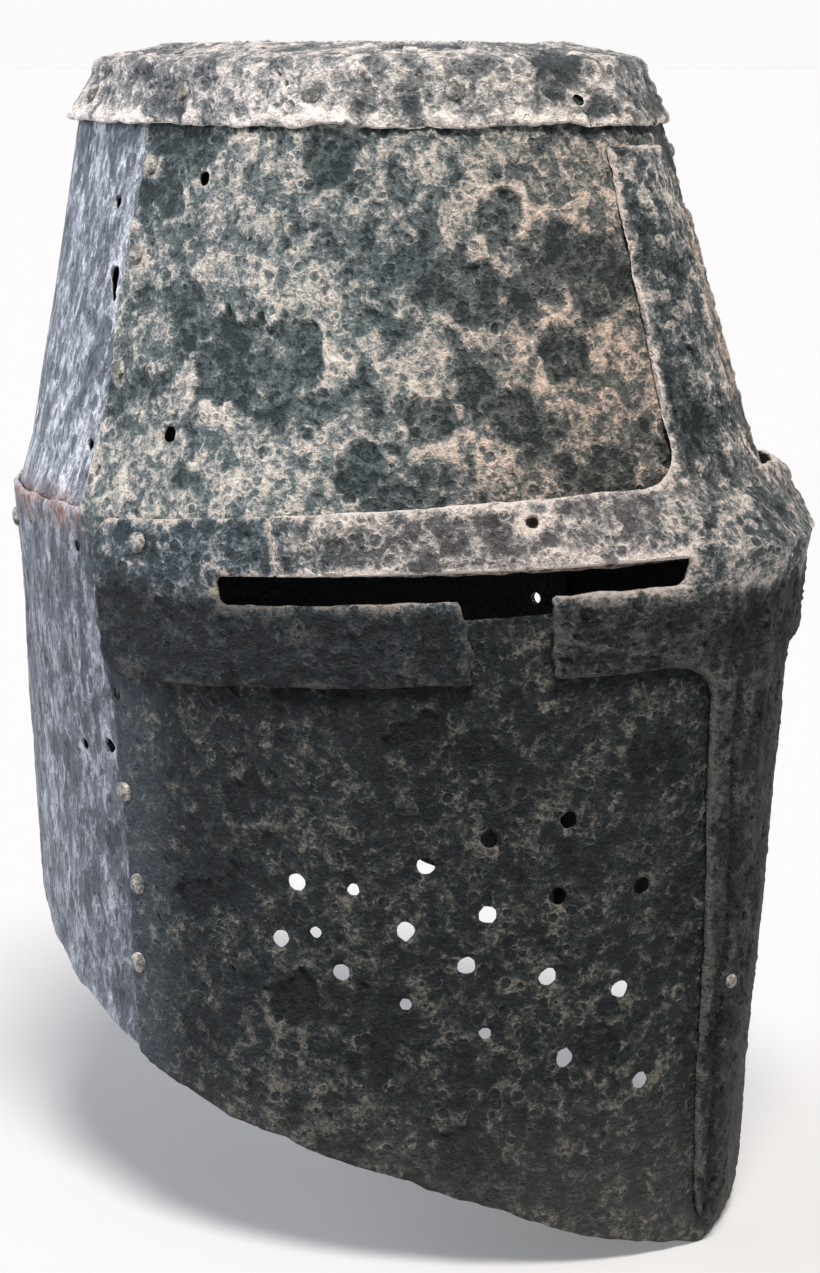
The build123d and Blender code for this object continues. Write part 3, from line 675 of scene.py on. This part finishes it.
def shell(name, face, region, turns, rises, thickness, relief, worn, dents, ring=False):
    """Closed plate: a grid over the face by turn and rise, cut to the region by moving the grid
    places beside its outline onto it, raised by the relief, with an inner face one thickness
    behind it and a rounded edge between. In a ring the last turn is the first again, and the
    last rise is one point."""
    turn, rise = np.meshgrid(turns, rises)
    points = face(turn, rise)
    depth = region(points)
    wide = np.linalg.norm(np.gradient(points, axis=1), axis=-1)
    tall = np.linalg.norm(np.gradient(points, axis=0), axis=-1)
    near = np.abs(depth) < 0.56 * np.maximum(wide, tall)
    dropped = (depth < 0) & ~near
    away = snapped(face, region, turn, rise, depth, near, (turns[1] - turns[0], rises[1] - rises[0]))
    points, normal, _, _ = frame_of(face, turn, rise)
    ids = np.arange(points.shape[0] * points.shape[1]).reshape(turn.shape)
    if ring:
        ids[:, -1] = ids[:, 0]
        ids[-1] = ids[-1, 0]
        normal[-1] = (0, 0, 1)
    triangles = facets(ids, dropped, near, depth)
    used, triangles = np.unique(triangles, return_inverse=True)
    triangles = triangles.reshape(-1, 3)
    points, normal, away = [values.reshape(-1, 3)[used] for values in (points, normal, away)]
    depth = np.where(near, 0.0, depth).ravel()[used]
    raised = relief(points)
    wear = worn * np.exp(-np.maximum(depth, 0) / 0.9)
    outer = points + normal * (raised - wear)[:, None]
    back = points - normal * (thickness + 0.12 * fractal(points, 9, 2, 67))[..., None]
    count = len(points)
    edges = open_edges(triangles, count)
    brink = np.unique(edges)
    rim = np.full(count, -1)
    rim[brink] = 2 * count + np.arange(len(brink))
    middle = 0.5 * (outer[brink] + back[brink]) + away[brink] * 0.6 * worn
    start, end = edges[:, 0], edges[:, 1]
    walls = [(end, start, rim[start]), (end, rim[start], rim[end]),
             (rim[end], rim[start], start + count), (rim[end], start + count, end + count)]
    triangles = np.concatenate([triangles, triangles[:, ::-1] + count, *[np.stack(w, 1) for w in walls]])
    vertices = beaten(np.concatenate([outer, back, middle]), dents)
    rims = len(brink)
    marks = {
        "relief": np.concatenate([raised, np.full(count, -0.4), np.full(rims, 0.1)]),
        # edge is near 1 by the plate's edge and 1 on its rims, where the material paints the iron paler, as
        # wear and as a painted highlight.
        "edge": np.concatenate([np.exp(-np.maximum(depth, 0) / 1.6), np.zeros(count), np.ones(rims)]),
        # inside marks the inner faces, which the material paints near-black as painted shade; their relief of
        # -0.4 darkens them too.
        "inside": np.concatenate([np.zeros(count), np.ones(count), np.zeros(rims)]),
    }
    return add_mesh(name, vertices, triangles, marks)


def finish_piece(piece, material, node):
    """Gives a piece its material and ties it to the frame in place of its CAD node."""
    piece.data.materials.append(material)
    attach(piece, "root")
    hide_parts(node)


def spread(start, end, reach, spacing):
    """Turns from start to end degrees, about one spacing apart at a reach."""
    count = int(round(radians(end - start) * reach / spacing)) + 1
    return np.linspace(radians(start), radians(end), count)


def climb(low, high, spacing):
    """Heights from low to high, about one spacing apart."""
    return np.linspace(low, high, int(round((high - low) / spacing)) + 1)


# ---- Rivets ----
def head_profile(radius, height, shank, depth, tail_radius, tail_height):
    """Section of a clenched rivet from the top of its head to the end of its tail, as radii and
    heights: two quarter circles squashed to the heights of the head and the tail, joined by the
    shank."""
    bend = np.linspace(0, pi / 2, 8)
    radii = np.concatenate([radius * np.sin(bend), [radius * 0.96, shank, shank, tail_radius * 0.96],
                            tail_radius * np.sin(bend[::-1])])
    heights = np.concatenate([height * np.cos(bend), [-0.12, -0.12, 0.12 - depth, 0.12 - depth],
                              -depth - tail_height * np.cos(bend[::-1])])
    return radii, heights


def inside_depth(levels, centre, normal):
    """How far behind a point its normal comes out of a wall's inner face, found by sampling."""
    depths = np.linspace(2.0, 18.0, 321)
    points = centre - normal * depths[:, None]
    turn = np.arctan2(-points[:, 0], -points[:, 1])
    outside = np.hypot(points[:, 0], points[:, 1]) > reach_of(size_at(levels, points[:, 2]), turn, LAP)
    return depths[outside].max(initial=2.0)


def rivet_mesh(name, face, places, through, scale, dents, head):
    """Hammered rivets: each section is turned about the outward normal of the face, and noise
    leaves its head lopsided. Through is its depth, or the levels of the wall it goes through."""
    parts, faces, count = [], [], 0
    around = np.linspace(0, 2 * pi, 25)[:-1]
    for number, (turn, height) in enumerate(places):
        centre, normal, sideways, upwards = frame_of(face, np.array(radians(turn)), np.array(float(height)))
        side = sideways / np.linalg.norm(sideways)
        up = np.cross(side, normal)
        depth = through if np.isscalar(through) else inside_depth(through, centre, normal)
        radii, heights = head_profile(*[part * scale for part in head], 1.6 * scale, depth,
                                      2.5 * scale, scale)
        flat = np.stack([radii[:, None] * np.cos(around), radii[:, None] * np.sin(around),
                         heights[:, None] + 0 * around], axis=-1)
        lump = fractal(flat + 40 * number, 2.6 * scale, 3, 81)
        flat *= (1 + 0.075 * lump)[..., None]
        points = centre + flat[..., :1] * side + flat[..., 1:2] * up + flat[..., 2:] * normal
        rows, columns = flat.shape[:2]
        ids = np.arange(rows * columns).reshape(rows, columns)
        ids[0], ids[-1] = ids[0, 0], ids[-1, 0]
        ids = np.concatenate([ids, ids[:, :1]], axis=1) + count
        a, b, c, d = ids[:-1, :-1], ids[:-1, 1:], ids[1:, 1:], ids[1:, :-1]
        triangles = np.concatenate([np.stack(half, -1).reshape(-1, 3) for half in ((a, b, c), (a, c, d))])
        distinct = (triangles[:, 0] != triangles[:, 1]) & (triangles[:, 1] != triangles[:, 2])
        faces.append(triangles[distinct & (triangles[:, 2] != triangles[:, 0])])
        parts.append(points.reshape(-1, 3))
        count += rows * columns
    points, triangles = np.concatenate(parts), np.concatenate(faces)
    used, triangles = np.unique(triangles, return_inverse=True)
    points = points[used]
    marks = {"relief": 0.25 * fractal(points, 2.5, 3, 82), "edge": np.zeros(len(points)),
             "inside": np.zeros(len(points))}
    return add_mesh(name, beaten(points, dents), triangles.reshape(-1, 3), marks)


# ---- Materials ----
def add_node(tree, kind, sockets, stops=(), output=0, **settings):
    """Adds a shader node and gives back one output: settings set its properties, sockets gives
    each input its value or the output that feeds it, and stops are a ramp's places and colours."""
    node = tree.nodes.new("ShaderNode" + kind)
    for key, value in settings.items():
        setattr(node, key, value)
    for key, value in sockets.items():
        if isinstance(value, bpy.types.NodeSocket):
            tree.links.new(value, node.inputs[key])
        else:
            node.inputs[key].default_value = value
    for position, _ in stops[1:-1]:
        node.color_ramp.elements.new(position)
    for element, (position, tint) in zip(node.color_ramp.elements if stops else (), stops):
        element.position, element.color = position, tint
    return node.outputs[output] if node.outputs else None


TONE_STOPS = (0.0, 0.36, 0.48, 0.6, 0.8, 1.0)
PIT_SECTION = [(place, (rise, rise, rise, 1)) for place, rise in
               ((0.0, 0.0), (0.34, 0.12), (0.5, 1.0), (0.64, 0.62), (1.0, 0.6))]


def corroded_iron(name, tones, patch, washes=(), stretch=(1, 1, 1), rough=0.62, gloss=0.25, depth=1.0,
                  wear_and_edge_highlight=0.15, rust=None):
    """Iron under layers of oxide. A level from 0 in the hollows to 1 on the highest crust is the
    sum of broad, coarse and fine lumps, a lace of thin ridges, two widths of round pits with
    raised lips, the piece's own relief, and the wear along its edges, which is partly a painted
    highlight on the edges and rims. The five tones follow that level, dark to pale, and the same
    lumps are the bump. A patch is the crust's own width in mm.
    A wash blends a colour in over spans of the axes, in mm, and rust is a height and a reach."""
    material = bpy.data.materials.new(name)
    material.use_nodes = True
    material.node_tree.nodes.clear()
    add = partial(add_node, material.node_tree)
    colours = bpy.context.scene.helm_colours
    place = add("TexCoord", {}, output="Object")
    drawn = add("Mapping", {"Vector": place, "Scale": stretch})
    relief, edge, inside = [add("Attribute", {}, output="Fac", attribute_name=mark)
                            for mark in ("relief", "edge", "inside")]
    sway = add("TexNoise", {"Vector": drawn, "Scale": 1 / (1.4 * patch * MM), "Detail": 3.0}, output="Color")
    shaken = add("VectorMath", {0: sway, 1: (0.45 * patch * MM,) * 3, 2: drawn}, operation="MULTIPLY_ADD")
    broad, coarse, fine, strands, grit = [
        add("TexNoise", {"Vector": source, "Scale": 1 / (size * MM), "Detail": detail, "Roughness": fall})
        for source, size, detail, fall in (
            (drawn, 22.0, 4.0, 0.6), (shaken, 2.3 * patch, 5.0, 0.66), (drawn, 0.7 * patch, 4.0, 0.72),
            (shaken, 2.2 * patch, 3.0, 0.5), (drawn, 0.8, 3.0, 0.7))
    ]
    off_line = add("Math", {0: add("Math", {0: strands, 1: -0.5})}, operation="ABSOLUTE")
    lumps = [(broad, 0.45, 0.5), (coarse, 1.1, 0.5), (fine, 0.9, 0.5),
             (add("MapRange", {"Value": off_line, 1: 0.0, 2: 0.06, 3: 1.0, 4: 0.0}), 0.07, 0.25)]
    for size, weight in ((1.8, 0.3), (0.8, 0.2)):
        gap = add("TexVoronoi", {"Vector": shaken, "Scale": 1 / (size * patch * MM)})
        chance = add("SeparateColor", {0: gap.node.outputs["Color"]})
        width = add("Math", {0: chance, 1: 1.3, 2: -0.3}, operation="MULTIPLY_ADD")
        share = add("Math", {0: gap, 1: width}, operation="DIVIDE")
        lumps.append((add("ValToRGB", {0: share}, PIT_SECTION), weight, 0.6))
    height = 0.5
    for source, weight, middle in lumps:
        term = add("Math", {0: source, 1: weight, 2: -weight * middle}, operation="MULTIPLY_ADD")
        height = add("Math", {0: term, 1: height})
    level = add("Math", {0: relief, 1: 0.27, 2: height}, operation="MULTIPLY_ADD")
    # By the edges the level rises to the pale tones: wear, and a painted highlight along the edges.
    level = add("Math", {0: edge, 1: wear_and_edge_highlight, 2: level}, operation="MULTIPLY_ADD")
    speckled = add("Math", {0: add("Math", {0: grit, 1: 0.5, 2: -0.25}, operation="MULTIPLY_ADD"), 1: level})
    tones = [linear(code) for code in tones]
    mixed = add("ValToRGB", {0: speckled}, list(zip(TONE_STOPS, [*tones, tones[-1]])))
    sides = add("SeparateXYZ", {0: place}).node.outputs
    for way, tint, *spans in washes:
        share = 1.0
        for axis, start, end in spans:
            part = add("MapRange", {"Value": sides[axis], 1: start * MM, 2: end * MM},
                       interpolation_type="SMOOTHSTEP")
            share = add("Math", {0: part, 1: share}, operation="MULTIPLY")
        mixed = add("Mix", {"Factor": share, 6: mixed, 7: linear(tint)}, output=2, data_type="RGBA",
                    blend_type=way)
    if rust:
        gap = add("Math", {0: add("Math", {0: sides["Z"], 1: -rust[0] * MM})}, operation="ABSOLUTE")
        glow = add("MapRange", {"Value": gap, 1: rust[1] * MM, 2: 0.0})
        patchy = add("MapRange", {"Value": coarse, 1: 0.4, 2: 0.6})
        glow = add("Math", {0: glow, 1: patchy}, operation="MULTIPLY")
        mixed = add("Mix", {"Factor": glow, 6: mixed, 7: colours.rust}, output=2, data_type="RGBA")
    # The inner faces take the near-black inside colour: painted shade of the helm's inside.
    mixed = add("Mix", {"Factor": inside, 6: mixed, 7: colours.inside}, output=2, data_type="RGBA")
    roughness = add("MapRange", {"Value": level, 1: 0.2, 2: 0.8, 3: rough - 0.1, 4: rough + 0.15})
    bump = add("Math", {0: grit, 1: 0.12, 2: height}, operation="MULTIPLY_ADD")
    normal = add("Bump", {"Height": bump, "Distance": 0.8 * depth * patch * MM})
    add("OutputMaterial", {"Surface": add("BsdfPrincipled", {
        "Base Color": mixed, "Roughness": roughness, "Normal": normal, "Metallic": 0.2,
        "Specular IOR Level": gloss})})
    return material


def crusted_forged_iron():
    """Forged iron under flaking scale: pale tan crust over green-grey scale, pinker at the keel,
    partly as painted warm light on the keel side.
    """
    # The wash pinks the iron towards the keel: pink crust, and partly painted warm light.
    return corroded_iron("crusted_forged_iron", ("#2A3436", "#616B6C", "#8B8F8B", "#B2ACA3", "#D2CBC1"), 3.0,
                         [("MULTIPLY", "#FFECE4", ("Y", -45, -105))], depth=1.5)


def pale_top_lit_forged_iron():
    """The crown's forged iron, paler than the walls: partly its own tone, and partly painted light
    from above, where the crown faces the ceiling light.
    """
    return corroded_iron("pale_top_lit_forged_iron", ("#3E4447", "#7E8080", "#A8A5A1", "#C6BFB9", "#E4DCD6"), 3.4,
                         [("MULTIPLY", "#F0ECEB", ("Y", -60, -120))], depth=1.2, wear_and_edge_highlight=0.25)


def blued_forged_iron():
    """Forged iron with a smooth blue-grey oxide skin, streaked downwards, rusty at the waist and
    darker below it."""
    return corroded_iron("blued_forged_iron", ("#343C45", "#646C75", "#878D95", "#A8ADB5", "#D2D5DB"), 2.8,
                         [("MULTIPLY", "#D2D4D6", ("Z", RIM, RIM - 8))], stretch=(1, 1, 0.5), rough=0.48,
                         gloss=0.4, rust=(RIM - 2, 8.0))


def blackened_and_shaded_forged_iron():
    """Forged iron with a nearly black skin, mottled brown-grey, and blue-grey beside the seam. Its
    darkness is partly painted shade of the face plate, which leans away from the light above, and
    it is painted paler brown-grey towards the hem as light thrown up from the floor.
    """
    # Nearly black tones: partly the plate's own dark skin, partly painted shade.
    tones = ("#0A0F11", "#171D1F", "#242A2B", "#3A3C3A", "#69665F")
    # The second wash pales the plate towards the hem: painted light thrown up from the floor.
    washes = [("SCREEN", "#31373D", ("Y", 0, 24)), ("SCREEN", "#2C2A28", ("Z", 70, 10))]
    return corroded_iron("blackened_and_shaded_forged_iron", tones, 2.6, washes, gloss=0.2, depth=1.3)


def worn_and_highlit_forged_iron():
    """Thick forged iron whose high edges are rubbed pale and carry a painted highlight: paler and
    pinkish along the brow beside the keel, partly as a painted highlight, and darker under the slits."""
    # The brow wash paints the arm paler and pinker beside the keel: pink crust, and partly a painted
    # highlight.
    brow = [("Z", 209, 217), ("Z", 246, 236), ("Y", -128, -112), ("Y", -30, -85)]
    washes = [("MULTIPLY", "#666C6E", ("Z", 214, 204)), ("SCREEN", "#403533", *brow)]
    return corroded_iron("worn_and_highlit_forged_iron", ("#1B2224", "#485053", "#727676", "#9A9691", "#D0C6BF"), 2.8,
                         washes, wear_and_edge_highlight=0.45, depth=1.5)


def fragment_forged_iron():
    """The broken-off arm end: smoother and darker than the rest of the cross, nearly black under
    the slit."""
    return corroded_iron("fragment_forged_iron", ("#171E21", "#333D41", "#4B555A", "#70767A", "#B5AB9E"), 3.2,
                         [("MULTIPLY", "#6A7073", ("Z", 211, 203))], wear_and_edge_highlight=0.35)


def hammered_iron():
    """Soft iron rivets with hammered, rubbed heads."""
    return corroded_iron("hammered_iron", ("#33373A", "#5C5D5B", "#7C7A75", "#99948C", "#BDB7AC"), 1.4,
                         rough=0.5, depth=0.5)


# ---- Stage ----
def plain_paint(name, settings):
    """Material of one shader with plain settings."""
    paint = bpy.data.materials.new(name)
    paint.use_nodes = True
    for key, value in settings.items():
        paint.node_tree.nodes["Principled BSDF"].inputs[key].default_value = value
    return paint


def add_stage_object(name, data):
    """Object of the stage, linked into the scene."""
    item = bpy.data.objects.new(name, data)
    bpy.context.scene.collection.objects.link(item)
    return item


def add_sun(name, place, strength, width, tint):
    """Soft distant light that shines from a place towards the origin, width degrees across."""
    data = bpy.data.lights.new(name, "SUN")
    data.energy, data.angle, data.color = strength, radians(width), linear(tint)[:3]
    add_stage_object(name, data).rotation_euler = (-Vector(place)).to_track_quat("-Z", "Y").to_euler()


def add_floor():
    """Flat square floor under the helm, which glows a little so that its shadows stay soft."""
    reach, level = 80.0, cad_low.z - 0.0005
    mesh = bpy.data.meshes.new("studio_floor")
    corners = ((-reach, -reach), (reach, -reach), (reach, reach), (-reach, reach))
    mesh.from_pydata([(*corner, level) for corner in corners], [], [(0, 1, 2, 3)])
    mesh.materials.append(plain_paint("matt_floor_paint", {
        "Base Color": bpy.context.scene.helm_colours.floor, "Roughness": 0.9,
        "Emission Color": (1, 1, 1, 1), "Emission Strength": 0.2}))
    add_stage_object("studio_floor", mesh)


def add_backdrop():
    """White backdrop all round, far outside everything: a ball of turns and heights that faces
    inwards, shows white, and gives the helm no light of its own."""
    around, up = np.meshgrid(np.linspace(0, 2 * pi, 33), np.linspace(-pi / 2, pi / 2, 17))
    points = 95 * np.stack([np.cos(up) * np.cos(around), np.cos(up) * np.sin(around), np.sin(up)], -1)
    ids = np.arange(around.size).reshape(around.shape)
    quads = np.stack([ids[:-1, :-1], ids[1:, :-1], ids[1:, 1:], ids[:-1, 1:]], -1).reshape(-1, 4)
    mesh = bpy.data.meshes.new("white_backdrop")
    mesh.from_pydata(points.reshape(-1, 3), [], quads.tolist())
    mesh.materials.append(plain_paint("white_backdrop_paper", {
        "Base Color": (0, 0, 0, 1), "Emission Color": linear("#F6F6F6"), "Emission Strength": 1.0}))
    backdrop = add_stage_object("white_backdrop", mesh)
    backdrop.visible_diffuse = backdrop.visible_glossy = backdrop.visible_shadow = False


def add_camera():
    """Camera at the helm's right front, its line of sight turned a little about the upright."""
    data = bpy.data.cameras.new("studio_camera")
    data.sensor_width, data.lens = 36.0, 86.77
    camera = add_stage_object("studio_camera", data)
    place = Vector((-760.5, -612.8, 360.0)) + Vector(SHIFT)
    aim = Vector((0.0, 0.0, 175.7)) + Vector(SHIFT)
    camera.location = place * MM
    line = Matrix.Rotation(radians(-0.24), 3, "Z") @ (aim - place)
    camera.rotation_euler = line.to_track_quat("-Z", "Y").to_euler()
    bpy.context.scene.camera = camera


# ---- Operators ----
def sizes_in_mm():
    """The sizes that a user would change, in millimetres."""
    sizes = bpy.context.scene.helm_sizes
    return SimpleNamespace(**{name: getattr(sizes, name) / MM for name in HelmSizes.__annotations__})


class HELM_OT_stage(bpy.types.Operator):
    """Pale floor, soft studio lights and the camera."""

    bl_idname = "helm.stage"
    bl_label = "Stage"

    def execute(self, context):
        add_floor()
        world = bpy.data.worlds.new("studio_air")
        world.use_nodes = True
        world.node_tree.nodes["Background"].inputs["Color"].default_value = linear("#F4F4F5")
        world.node_tree.nodes["Background"].inputs["Strength"].default_value = 0.36
        context.scene.world = world
        add_backdrop()
        add_sun("ceiling_light", (-0.5, -0.55, 1.4), 6.0, 18, "#FFF8F2")
        add_sun("window_light", (-0.9, 1.4, 0.85), 2.5, 34, "#E2E9FF")
        add_camera()
        context.scene.view_settings.view_transform = "Standard"
        return {"FINISHED"}


class HELM_OT_crown(bpy.types.Operator):
    """Flat crown with its flange turned down."""

    bl_idname = "helm.crown"
    bl_label = "Crown"

    def execute(self, context):
        size = sizes_in_mm()
        flange = wall_face(SKULL, FRONT_OUTER + LAP + size.plate)
        places = both_sides(CROWN_RIVETS) + REAR_CROWN_RIVET

        def relief(points):
            lip = np.exp(-((points[..., 2] - FLANGE_FOOT - 1.2) / 2.4) ** 2)
            crust = crust_relief(points, size.flakes, size.pits) * kept_flat(points, places, flange)
            return crust + lip * (0.9 + 0.5 * fractal(points, 9, 3, 91))

        piece = shell("worn_crown", crown_face, partial(crown_region, holes=holes_in(flange, CROWN_HOLE)),
                      spread(-180, 180, 92, size.grain), climb(-2.5, CROWN_RUN, size.grain), size.plate,
                      relief, 0.5, size.dents, ring=True)
        finish_piece(piece, pale_top_lit_forged_iron(), "top_plate")
        return {"FINISHED"}


class HELM_OT_upper_front(bpy.types.Operator):
    """Keeled skull plate above the eye slits."""

    bl_idname = "helm.upper_front"
    bl_label = "Upper front plate"

    def execute(self, context):
        size = sizes_in_mm()
        face = wall_face(UPPER_FRONT, FRONT_OUTER)
        holes = holes_in(face, both_sides(SEAM_HOLES_UPPER + SKULL_LACE_HOLES))
        places = both_sides(UPPER_SEAM_RIVETS + LINING_RIVETS)

        def relief(points):
            crust = crust_relief(points, size.flakes, size.pits)
            crust += cratered(points, face, both_sides(SKULL_CRATERS))
            return np.maximum(crust, -HOLLOW_LIMIT) * kept_flat(points, places, face)

        piece = shell("worn_upper_front", face, partial(upper_front_region, holes=holes),
                      spread(-124, 124, 112, size.grain), climb(207, 356, size.grain), size.plate,
                      relief, 0.45, size.dents)
        finish_piece(piece, crusted_forged_iron(), "upper_front_plate")
        return {"FINISHED"}


class HELM_OT_upper_back(bpy.types.Operator):
    """Skull plate behind, lapped by its neighbours."""

    bl_idname = "helm.upper_back"
    bl_label = "Upper back plate"

    def execute(self, context):
        size = sizes_in_mm()
        face = wall_face(UPPER_BACK, 0.0)
        holes = holes_in(face, both_sides(BACK_LACE_HOLES + KEYHOLE + SEAM_HOLES_UPPER + WAIST_HOLES))
        piece = shell("worn_upper_back", face, partial(upper_back_region, holes=holes),
                      spread(94, 266, 112, size.grain),
                      climb(SKIRT_FOOT - size.grain, 356, size.grain), size.plate,
                      lambda points: np.minimum(blued_relief(points, size.flakes, size.pits), 0.0),
                      0.3, size.dents)
        finish_piece(piece, blued_forged_iron(), "upper_back_plate")
        return {"FINISHED"}


class HELM_OT_lower_front(bpy.types.Operator):
    """Keeled face plate with the breathing holes."""

    bl_idname = "helm.lower_front"
    bl_label = "Lower front plate"

    def execute(self, context):
        size = sizes_in_mm()
        face = wall_face(FACE, FRONT_OUTER)
        breaths = [(*place, BREATH_RADIUS) for place in BREATHS]
        breaths += [(*place, SMALL_BREATH_RADIUS) for place in SMALL_BREATHS]
        holes = holes_in(face, both_sides(breaths + SEAM_HOLES_LOWER))

        def relief(points):
            skin = face_relief(points, size.flakes, size.pits)
            skin += cratered(points, face, both_sides(FACE_CRATERS))
            return np.maximum(skin, -HOLLOW_LIMIT) * kept_flat(points, both_sides(LOWER_SEAM_RIVETS), face)

        piece = shell("worn_lower_front", face, partial(lower_front_region, holes=holes),
                      spread(-107, 107, 118, size.grain), climb(-6, 218, size.grain), size.plate,
                      relief, 0.45, size.dents)
        finish_piece(piece, blackened_and_shaded_forged_iron(), "lower_front_plate")
        return {"FINISHED"}


class HELM_OT_lower_back(bpy.types.Operator):
    """Wall under the waist behind."""

    bl_idname = "helm.lower_back"
    bl_label = "Lower back plate"

    def execute(self, context):
        size = sizes_in_mm()
        face = wall_face(FACE, 0.0)
        holes = holes_in(face, both_sides(WAIST_HOLES + CHEEK_HOLES + SEAM_HOLES_LOWER))

        def relief(points):
            skin = blued_relief(points, size.flakes, size.pits) * kept_flat(points, WAIST_RIVETS, face)
            lip = np.exp(-((points[..., 2] - RIM + 1.5) / 2.0) ** 2)
            return skin + lip * (0.35 + 0.3 * fractal(points, 10, 2, 93))

        piece = shell("worn_lower_back", face, partial(lower_back_region, holes=holes),
                      spread(82, 278, 116, size.grain), climb(40, 229, size.grain), size.plate,
                      relief, 0.4, size.dents)
        finish_piece(piece, blued_forged_iron(), "lower_back_plate")
        return {"FINISHED"}


class HELM_OT_sight_cross(bpy.types.Operator):
    """Bar and arms round the eye slits, and the broken-off end of the right arm."""

    bl_idname = "helm.sight_cross"
    bl_label = "Sight cross"

    def execute(self, context):
        size = sizes_in_mm()
        places = both_sides(ARM_RIVETS + ARM_END_RIVETS) + mirrored(BROW_RIVETS)
        places += BAR_UPPER_RIVETS + BAR_LOWER_RIVETS
        holes = holes_in(raised_cross_face, [(*BROW_RIVETS[0], 2.2)])

        def relief(points, strength=1.0):
            forged = forged_relief(points, size.flakes, size.pits)
            return strength * forged * kept_flat(points, places, raised_cross_face)

        cross = shell("worn_cross", cross_face, partial(sight_cross_region, holes=holes),
                      spread(-106, 76, 122, size.cross_grain), climb(3, 336, size.cross_grain), size.cross,
                      relief, 0.7, size.dents)
        finish_piece(cross, worn_and_highlit_forged_iron(), "sight_cross")

        def sunk_face(turn, height):
            points = cross_face(turn, height)
            return points * (1 - 0.5 / np.linalg.norm(points, axis=-1, keepdims=True) * (1, 1, 0))

        end = shell("worn_arm_end", sunk_face, arm_end_region, spread(32, 108, 122, size.cross_grain),
                    climb(172, 236, size.cross_grain), size.cross - 0.4, partial(relief, strength=0.6),
                    0.6, size.dents)
        finish_piece(end, fragment_forged_iron(), "right_arm_end")
        return {"FINISHED"}


class HELM_OT_rivets(bpy.types.Operator):
    """Every group of hammered rivets."""

    bl_idname = "helm.rivets"
    bl_label = "Rivets"

    def execute(self, context):
        size = sizes_in_mm()
        material = hammered_iron()
        front = wall_face(UPPER_FRONT, FRONT_OUTER)
        flange = wall_face(SKULL, FRONT_OUTER + LAP + size.plate)
        lower_front, lower_back = wall_face(FACE, FRONT_OUTER), wall_face(FACE, 0.0)
        cross, small = raised_cross_face, 0.7
        left_arm = mirrored(ARM_RIVETS + BROW_RIVETS + ARM_END_RIVETS)
        # Name, face, places, depth in mm or the wall that the rivet goes through, and scale.
        for node, face, places, through, scale in (
            ("crown_rivets", flange, both_sides(CROWN_RIVETS) + REAR_CROWN_RIVET, 5.7, 1.0),
            ("upper_right_seam_rivets", front, UPPER_SEAM_RIVETS, 5.9, 1.0),
            ("upper_left_seam_rivets", front, mirrored(UPPER_SEAM_RIVETS), 5.9, 1.0),
            ("lower_right_seam_rivets", lower_front, LOWER_SEAM_RIVETS, 3.8, 1.0),
            ("lower_left_seam_rivets", lower_front, mirrored(LOWER_SEAM_RIVETS), 3.8, 1.0),
            ("waist_rivets", lower_back, WAIST_RIVETS, 3.8, 1.0),
            ("left_arm_rivets", cross, left_arm, UPPER_FRONT, 1.0),
            ("right_arm_rivet", cross, ARM_RIVETS, UPPER_FRONT, 1.0),
            ("arm_end_rivet", cross, ARM_END_RIVETS, UPPER_FRONT, 1.0),
            ("bar_upper_rivets", cross, BAR_UPPER_RIVETS, UPPER_FRONT, small),
            ("bar_lower_rivet", cross, BAR_LOWER_RIVETS, FACE, small),
            ("lining_rivets", front, both_sides(LINING_RIVETS), 1.8, small),
        ):
            head = (size.head_radius, size.head_height)
            piece = rivet_mesh("hammered_" + node, face, places, through, scale, size.dents, head)
            finish_piece(piece, material, node)
        return {"FINISHED"}


OPERATORS = (HELM_OT_stage, HELM_OT_crown, HELM_OT_upper_front, HELM_OT_upper_back, HELM_OT_lower_front,
             HELM_OT_lower_back, HELM_OT_sight_cross, HELM_OT_rivets)


class HELM_PT_panel(bpy.types.Panel):
    """Lists the helm's sizes, colours and pieces."""

    bl_idname = "HELM_PT_panel"
    bl_label = "Great helm"
    bl_space_type = "VIEW_3D"
    bl_region_type = "UI"
    bl_category = "Helm"

    def draw(self, context):
        for group in (context.scene.helm_sizes, context.scene.helm_colours):
            for name in group.bl_rna.properties.keys():
                if name not in ("rna_type", "name"):
                    self.layout.prop(group, name)
        for operator in OPERATORS:
            self.layout.operator(operator.bl_idname)


CLASSES = (HelmSizes, HelmColours, *OPERATORS, HELM_PT_panel)


def register():
    """Adds the classes and the scene's two property groups."""
    for item in CLASSES:
        bpy.utils.register_class(item)
    bpy.types.Scene.helm_sizes = PointerProperty(type=HelmSizes)
    bpy.types.Scene.helm_colours = PointerProperty(type=HelmColours)


def unregister():
    """Takes them away again."""
    del bpy.types.Scene.helm_colours
    del bpy.types.Scene.helm_sizes
    for item in reversed(CLASSES):
        bpy.utils.unregister_class(item)


def main():
    """Makes every piece in turn."""
    register()
    for operator in OPERATORS:
        getattr(bpy.ops.helm, operator.bl_idname.removeprefix("helm."))()


if __name__ == "__main__":
    main()
